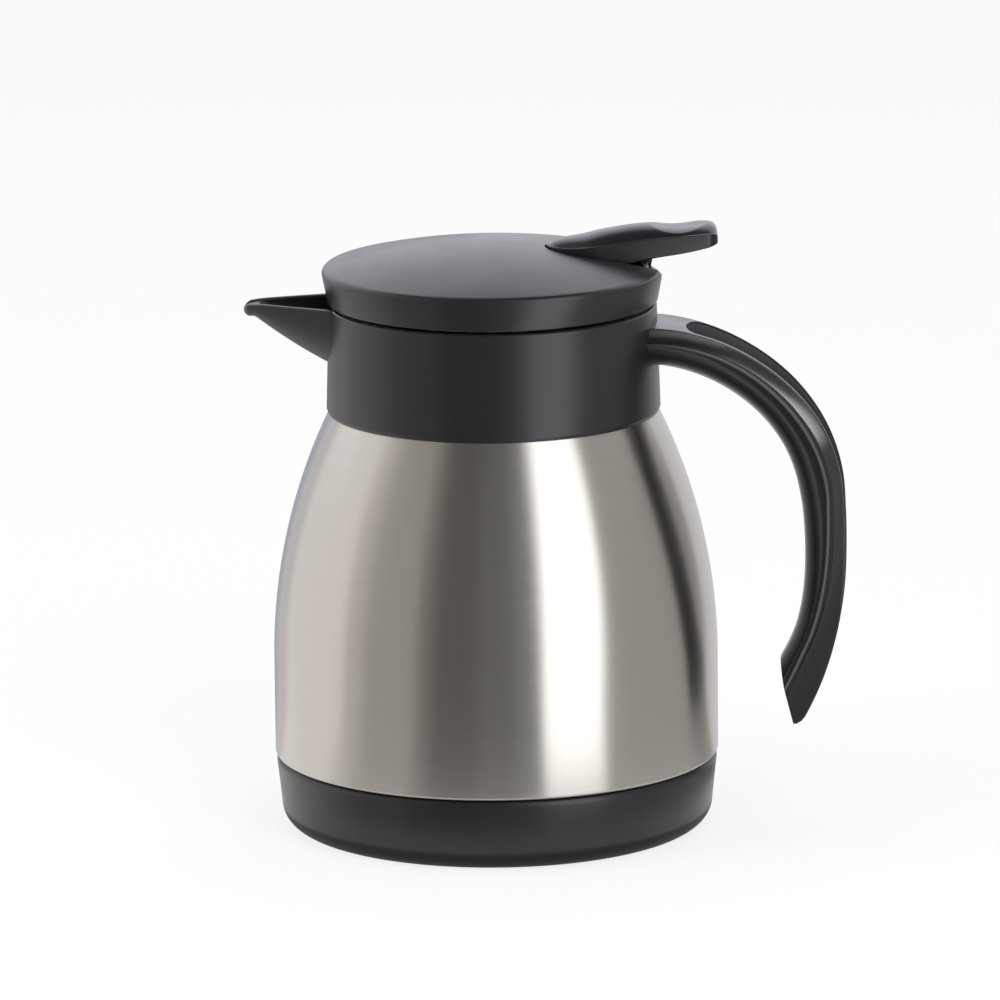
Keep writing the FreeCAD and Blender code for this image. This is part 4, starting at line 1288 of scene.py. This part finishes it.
@dataclass
class Lever:
    """Thumb lever with its hub and the fork that lifts the valve stem.

    Each row of front and rear gives the heights of underside, side and crown above the dome's
    edge: at a distance behind the nose in front, and before the end in the rear.
    """

    lid: Lid
    half: float = 8.3
    nose: float = 13.4
    nose_length: float = 12.6
    reach: float = 55.3
    front: tuple[Row, ...] = (
        (0.0, 1.7, 5.0, 5.03), (0.7, 1.6, 5.0, 5.1), (1.6, 1.5, 5.0, 5.75), (4.8, 1.3, 5.05, 6.6),
        (8.8, 1.1, 5.35, 7.2), (13.6, 1.0, 5.9, 8.3), (19.6, 1.1, 6.7, 9.3), (22.6, 1.8, 7.1, 9.6),
        (26.6, 2.6, 7.5, 9.8))
    rear: tuple[Row, ...] = (
        (8.5, 3.6, 7.9, 9.9), (2.5, 4.9, 8.4, 9.85), (0.0, 5.7, 8.4, 9.4))
    least_side: float = 0.8
    least_crown: float = 0.1
    plan_round: float = 2.8
    end_round: float = 1.3
    foot_round: float = 0.5
    foot_shares: Point = (0.2, 0.3)
    ledge: float = 0.65
    ledge_round: float = 0.3
    ledge_shares: Point = (0.3, 0.4)
    crown_power: float = 2.5
    crown_steps: int = 48
    nose_start: float = 0.03
    nose_reach: float = 0.25
    nose_steps: int = 6
    pitch: float = 0.4
    steps: int = 95
    end_pitch: float = 0.29
    end_steps: tuple[int, int] = (3, 11)
    tip_reach: float = 0.6
    tip_angles: Row = (10, 25, 40, 55, 70, 80, 86)
    dish_depth: float = 0.95
    dish_half: Point = (7.1, 6.7)
    dish_setback: float = 9.6
    web_inset: float = 0.9
    web_span: Point = (19.0, 30.0)
    web_rise: float = 3.4
    hub_radius: float = 3.2
    hub_half: float = 7.9
    hub_bore: float = 1.55
    arm_span: Point = (2.5, 4.7)
    arm_half: float = 1.0
    fork_radius: float = 1.95
    fork_over: float = 0.01

    def __post_init__(self) -> None:
        """Lays out the tables of underside, side and crown."""
        rows = [(self.nose + behind, *heights) for behind, *heights in self.front]
        rows += [(self.reach - before, *heights) for before, *heights in self.rear]
        self.low, self.side, self.crown = [
            tuple((row[0], row[i]) for row in rows) for i in (1, 2, 3)]

    def half_width(self, u: float) -> float:
        """Half width of the lever at a distance from the axis."""
        ahead = max(0.0, 1.0 - (u - self.nose) / self.nose_length)
        return self.half * math.sqrt(max(1.0 - ahead ** 2, 0.0)) - self.fall(u, self.plan_round)

    def fall(self, u: float, radius: float) -> float:
        """How far a rounding of the end has fallen away at a distance from the axis."""
        past = max(u - (self.reach - radius), 0.0)
        return radius - math.sqrt(max(radius ** 2 - past ** 2, 0.0))

    def section(self, u: float) -> list[Vector]:
        """Outline across the lever: flat underside, sides, a narrow ledge and a crowned top.

        Args:
            u: Distance from the axis.

        Returns:
            The ring of points.
        """
        half = self.half_width(u)
        low, side, crown = (blended(u, table) for table in (self.low, self.side, self.crown))
        drop = self.fall(u, self.end_round)
        side = max(side - drop, low + self.least_side)
        crown = max(crown - drop, side + self.least_crown)
        # Roundings and ledge shrink with the section, towards the nose.
        foot = min(self.foot_round, self.foot_shares[0] * half,
                   self.foot_shares[1] * (side - low))
        inner = half - min(self.ledge, self.ledge_shares[0] * half)
        turn = min(self.ledge_round, self.ledge_shares[1] * (half - inner))
        corners = [(-half, low, foot), (half, low, foot), (half, side, turn)]
        for step in range(self.crown_steps + 1):
            v = inner * (1 - 2 * step / self.crown_steps)
            rise = (crown - side) * (1 - abs(v / inner) ** self.crown_power)
            corners.append((v, side + rise))
        corners.append((-half, side, turn))
        return [Vector((u, v, self.lid.dome_edge + z)) for v, z in rounded(corners, steps=6)]

    def stations(self) -> list[float]:
        """Lays out where the outlines are drawn, closer at nose and end.

        Returns:
            Distances from the axis, in order.
        """
        places = [self.nose + self.nose_start + self.nose_reach * (i / self.nose_steps) ** 2
                  for i in range(self.nose_steps)]
        places += [self.nose + self.pitch * i for i in range(1, self.steps + 1)]
        places += [self.reach - self.end_pitch * i for i in range(*self.end_steps)]
        places += [self.reach - self.tip_reach * (1 - math.sin(math.radians(angle)))
                   for angle in self.tip_angles]
        return sorted(u for u in places if u < self.reach)

    def dish(self, mesh: BMesh) -> None:
        """Presses the thumb dish into the top.

        Args:
            mesh: The lever, which is changed.
        """
        centre = self.reach - self.dish_setback
        long, wide = self.dish_half
        for vert in mesh.verts:
            away = ((vert.co.x - centre) / long) ** 2 + (vert.co.y / wide) ** 2
            if away < 1 and vert.co.z > self.lid.dome_edge + blended(vert.co.x, self.side):
                vert.co.z -= self.dish_depth * (1 - away)

    def build(self) -> None:
        """Draws the lever, presses the dish and adds web, hub and fork."""
        lid = self.lid
        mesh = drawn([self.section(u) for u in self.stations()])
        self.dish(mesh)
        start, end = self.web_span
        plan = [(x, y) for x, y in lid.slot_plan(-self.web_inset, end) if x >= start]
        tools = [upright(plan, lid.pivot_height, lid.dome_edge + self.web_rise),
                 lid.pin(self.hub_half, self.hub_radius)]
        for low, high in both_sides(self.arm_span):
            tools.append(block((0.0, low, lid.pivot_height - self.arm_half),
                               (lid.pivot_reach, high, lid.pivot_height + self.arm_half)))
            tools.append(rod((0, low - self.fork_over, lid.pivot_height),
                             (0, high + self.fork_over, lid.pivot_height), self.fork_radius))
        mesh = joined(mesh, Join.ADD, *tools)
        mesh = joined(mesh, Join.CUT, lid.pin(lid.pin_half, self.hub_bore))
        finished("thumb_lever", lid.turned(mesh), "lever", "lever", LEVER_BLACK)


@dataclass
class Stopper:
    """Spring of the valve, and the finishes of the frame's hidden pieces."""

    low: float = 112.15
    high: float = 128.75
    mean_radius: float = 5.0
    wire: float = 0.4
    wire_steps: int = 12
    turns: int = 7
    turn_steps: int = 48
    lift: float = 3.1
    fixed_end: float = 129.2
    dressed: tuple[tuple[Finish, tuple[str, ...]], ...] = (
        (DRAWN_STEEL, ("inner_flask", "bottom_plate")),
        (TURNED_STEEL, ("handle_screws", "lever_pin", "valve_stem", "valve_nut")),
        (SOLDER, ("seal_bead",)),
        (SINTERED, ("getter",)),
        (SILICONE, ("collar_gasket", "plug_gasket", "rim_seal", "valve_gasket")),
        (STOPPER_BLACK, ("plug_body", "splash_plate", "stem_cap", "valve_disc")),
    )

    def spring(self) -> None:
        """Screws the spring's wire up."""
        steps = self.turns * self.turn_steps
        height = self.high - self.low
        mesh = bmesh.new()
        circle = bmesh.ops.create_circle(mesh, segments=self.wire_steps, radius=self.wire,
                                         cap_ends=False)["verts"]
        lean = math.atan2(height, math.tau * self.mean_radius * self.turns)
        place = (Matrix.Translation((self.mean_radius, 0, self.low))
                 @ Matrix.Rotation(math.radians(90) + lean, 4, "X"))
        bmesh.ops.transform(mesh, matrix=place, verts=circle)
        edges = list(dict.fromkeys(edge for vert in circle for edge in vert.link_edges))
        mesh.faces.new(circle)
        last = bmesh.ops.spin(mesh, geom=circle + edges, cent=(0, 0, 0), axis=(0, 0, 1),
                              dvec=(0, 0, height / steps), angle=math.tau * self.turns,
                              steps=steps)["geom_last"]
        bmesh.ops.contextual_create(mesh, geom=[e for e in last if isinstance(e, BMEdge)])
        piece = finished("spring_wire", tidied(mesh), "lid", "valve_spring",
                         TURNED_STEEL)
        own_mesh(piece)

    def dress(self) -> None:
        """Gives the frame's own pieces their finishes."""
        for finish, names in self.dressed:
            material = finish.material()
            for name in names:
                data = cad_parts[name].data
                data.materials.clear()
                data.materials.append(material)
                LOG.info("%s: %s", name, finish.name)

    def build(self) -> None:
        """Builds the spring and dresses the rest."""
        self.spring()
        self.dress()


# Studio


@dataclass(frozen=True)
class Card:
    """A curved card of the light tent with a foot on the floor, seen only in reflections.

    Angles are degrees round the pot from the camera's own direction, positive to its right.
    Lengths are metres, and a foot of 0 means that the card hangs clear of the floor.
    The lean is how many degrees further round its end stands at the top than at the bottom.
    """

    start: float
    end: float
    tone: str
    strength: float = 1.0
    low: float = 0.0006
    high: float = 0.32
    radius: float = 0.17
    foot: float = 0.078
    lean: float = 0.0


@dataclass(frozen=True)
class Lamp:
    """A soft lamp: its place and sides in metres, and its power in watts."""

    name: str
    place: Place
    sides: Point
    power: float


@dataclass
class Studio:
    """Pale floor, soft light, and the tent that the steel mirrors."""

    grip: Object
    view_turn: float = -85.0
    floor_size: float = 8.0
    floor_tone: str = "#f4f4f4"
    floor_white: float = 0.82
    white: str = "#ffffff"
    sky_light: Point = (0.45, 1.0)
    aim: Place = (0.0, 0.0, 0.08)
    lamps: tuple[Lamp, ...] = (
        Lamp("key_front_right", (0.7, -1.2, 1.3), (0.9, 0.9), 13.0),
        Lamp("fill_left", (-1.3, -0.6, 0.9), (0.9, 0.9), 9.0),
        Lamp("top", (0.0, 0.3, 1.6), (1.2, 1.2), 10.0),
    )
    strip: Lamp = Lamp("handle_strip", (0.088, 0.03, 0.185), (0.16, 0.08), 0.2)
    strip_turn: float = 35.0
    card_pitch: float = 4.0
    card_hidden_from: tuple[str, ...] = (
        "camera", "diffuse", "shadow", "transmission", "volume_scatter")
    # Walls from left to right, then the back light, the ceilings, and a grey ring round the foot
    # that is a painted contact shadow on the floor, seen in the steel and base.
    cards: tuple[Card, ...] = (
        Card(-178, -140, "#b8bccb"),
        Card(-140, -122, "#dedcde"),
        Card(-122, -73, "#f4f1ef", 1.17),
        Card(-73, -62, "#d7d3cf"),
        Card(-62, -35, "#bab7b2"),
        Card(-35, -28, "#8b8885"),
        Card(-28, -8, "#706e6d"),
        Card(-8, 8, "#7d7c7c"),
        Card(8, 19, "#8c8c8c"),
        Card(20, 47, "#fdfeff", 2.5, foot=0.105, lean=13.0),
        Card(19, 47, "#8a8a8a", high=0.0006, radius=0.105),
        Card(56, 100, "#bab8b5"),
        Card(46, 57, "#bab8b5", radius=0.175),
        Card(100, 122, "#a19f9c"),
        Card(122, 172, "#e6e6e9"),
        Card(100, 260, "#f1f3fb", 1.6, low=0.15, high=0.335, radius=0.165, foot=0.0),
        Card(-90, 90, "#3c3c3e", low=0.3205, high=0.3205, foot=0.0005),
        Card(90, 270, "#3c3c3e", low=0.336, high=0.336, radius=0.165, foot=0.0005),
        Card(200, 290, "#d8d8dc", low=0.31, high=0.31, radius=0.085, foot=0.02),
        # Painted contact shadow: a grey ring on the floor round the foot, seen only in reflections,
        # because the glowing floor shows no shadow of its own there.
        Card(-180, 180, "#909090", low=0.0004, high=0.0004, radius=0.058, foot=0.03),
    )

    def seen(self, tree: NodeTree) -> NodeSocket:
        """Tells the rays that see the white of floor and backdrop from the others.

        Args:
            tree: Node tree of the floor or backdrop.

        Returns:
            A socket that is 1 on those rays.
        """
        path = add_node(tree, "ShaderNodeLightPath")
        share = path.outputs[SEEING_RAYS[0]]
        for ray in SEEING_RAYS[1:]:
            share = add_node(tree, "ShaderNodeMath", {0: share, 1: path.outputs[ray]},
                             operation="MAXIMUM").outputs[0]
        return share

    def floor(self) -> None:
        """Lays a pale floor that is white to the camera and keeps a faint shadow."""
        mesh = bmesh.new()
        bmesh.ops.create_grid(mesh, x_segments=1, y_segments=1, size=self.floor_size / 2)
        floor = linked("floor", as_data("floor", mesh))
        material = bpy.data.materials.new("white_sweep")
        tree = emptied(material)
        share = add_node(tree, "ShaderNodeMath", {0: self.seen(tree), 1: self.floor_white},
                         operation="MULTIPLY")
        card = add_node(tree, "ShaderNodeBsdfDiffuse", {"Color": linear(self.floor_tone)})
        glow = add_node(tree, "ShaderNodeEmission", {"Color": linear(self.white), "Strength": 1.0})
        mixed = add_node(tree, "ShaderNodeMixShader", {
            0: share.outputs[0], 1: card.outputs[0], 2: glow.outputs[0]})
        add_node(tree, "ShaderNodeOutputMaterial", {"Surface": mixed.outputs[0]})
        floor.data.materials.append(material)

    def world(self) -> None:
        """White backdrop to the camera and in reflections, softer light on everything else."""
        world = bpy.data.worlds.new("backdrop")
        bpy.context.scene.world = world
        tree = emptied(world)
        strength = add_node(tree, "ShaderNodeMapRange", {
            "Value": self.seen(tree), "To Min": self.sky_light[0], "To Max": self.sky_light[1]})
        sky = add_node(tree, "ShaderNodeBackground", {
            "Color": linear(self.white), "Strength": strength.outputs[0]})
        add_node(tree, "ShaderNodeOutputWorld", {"Surface": sky.outputs[0]})

    def hung(self, lamp: Lamp) -> Object:
        """Hangs a soft lamp that points at the pot.

        Args:
            lamp: The lamp.

        Returns:
            Its object.
        """
        light = bpy.data.lights.new(lamp.name, "AREA")
        light.shape = "RECTANGLE"
        light.size, light.size_y = lamp.sides
        light.energy = lamp.power
        made = linked(lamp.name, light)
        made.location = lamp.place
        aim = Vector(self.aim) - Vector(lamp.place)
        made.rotation_euler = aim.to_track_quat("-Z", "Y").to_euler()
        return made

    def light(self) -> None:
        """Hangs the lamps, and the strip behind the handle that only the grip mirrors."""
        for lamp in self.lamps:
            self.hung(lamp).visible_glossy = False
        strip = self.hung(self.strip)
        strip.rotation_euler = (math.radians(-90), math.radians(self.strip_turn), 0)
        strip.visible_camera = False
        strip.visible_diffuse = False
        lit = bpy.data.collections.new("handle_strip_lights")
        lit.objects.link(self.grip)
        strip.light_linking.receiver_collection = lit

    def card(self, name: str, card: Card) -> None:
        """Stands one card of the tent.

        Args:
            name: Its name.
            card: Its place and tone.
        """
        start = math.radians(self.view_turn + card.start)
        sweep = math.radians(card.end - card.start)
        line = [(card.radius, card.low)]
        if card.high > card.low:
            line.insert(0, (card.radius, card.high))
        if card.foot > 0:
            line.append((card.foot, card.low))
        mesh = bmesh.new()
        verts = [mesh.verts.new((r * math.cos(start), r * math.sin(start), z)) for r, z in line]
        edges = [mesh.edges.new(pair) for pair in zip(verts, verts[1:])]
        steps = max(2, round((card.end - card.start) / self.card_pitch))
        bmesh.ops.spin(mesh, geom=verts + edges, cent=(0, 0, 0), axis=(0, 0, 1), angle=sweep,
                       steps=steps, use_merge=math.isclose(sweep, math.tau))
        for vert in mesh.verts if card.lean else ():
            share = ((math.atan2(vert.co.y, vert.co.x) - start) % math.tau) / sweep
            rise = (vert.co.z - card.low) / (card.high - card.low)
            turn = math.radians(card.lean) * min(share, 1.0) * rise
            bmesh.ops.rotate(mesh, cent=(0, 0, 0), matrix=Matrix.Rotation(turn, 3, "Z"),
                             verts=[vert])
        panel = linked(name, as_data(name, mesh))
        material = bpy.data.materials.new(name)
        tree = emptied(material)
        glow = add_node(tree, "ShaderNodeEmission", {
            "Color": linear(card.tone), "Strength": card.strength})
        add_node(tree, "ShaderNodeOutputMaterial", {"Surface": glow.outputs[0]})
        panel.data.materials.append(material)
        for ray in self.card_hidden_from:
            setattr(panel, f"visible_{ray}", False)

    def build(self) -> None:
        """Sets up floor, backdrop, lamps and tent."""
        self.floor()
        self.world()
        self.light()
        for index, card in enumerate(self.cards):
            self.card(f"tent_card_{index}", card)


@dataclass
class Camera:
    """Long lens at the photograph's viewing angle."""

    lens: float = 355.5
    sensor: float = 36.0
    distance: float = 2456.0
    elevation: float = 13.975
    azimuth: float = 5.0
    base: float = 18.4
    aim: Place = (1.35, 0.0, 81.3)
    roll: float = -0.56
    clip: float = 100.0

    def build(self) -> None:
        """Places the camera and makes it the scene's own."""
        rise, turn = math.radians(self.elevation), math.radians(self.azimuth)
        flat = self.distance * math.cos(rise)
        place = Vector((flat * math.sin(turn), -flat * math.cos(turn),
                        self.base + self.distance * math.sin(rise)))
        data = bpy.data.cameras.new("camera")
        data.lens = self.lens
        data.sensor_width = self.sensor
        data.clip_end = self.clip
        camera = linked("camera", data)
        camera.location = place * MM
        look = (Vector(self.aim) - place).to_track_quat("-Z", "Y").to_matrix()
        look = look @ Matrix.Rotation(math.radians(self.roll), 3, "Z")
        camera.rotation_euler = look.to_euler()
        bpy.context.scene.camera = camera


def main() -> None:
    """Builds the pot piece by piece, then the studio."""
    logging.basicConfig(level=logging.INFO, format="%(message)s")
    vessel = Vessel()
    vessel.build()
    collar = Collar(vessel)
    collar.build()
    grip = Handle(collar).build()
    lid = Lid()
    lid.build()
    Lever(lid).build()
    Stopper().build()
    Studio(grip).build()
    Camera().build()
    bpy.context.scene.view_settings.view_transform = "Standard"


if __name__ == "__main__":
    main()
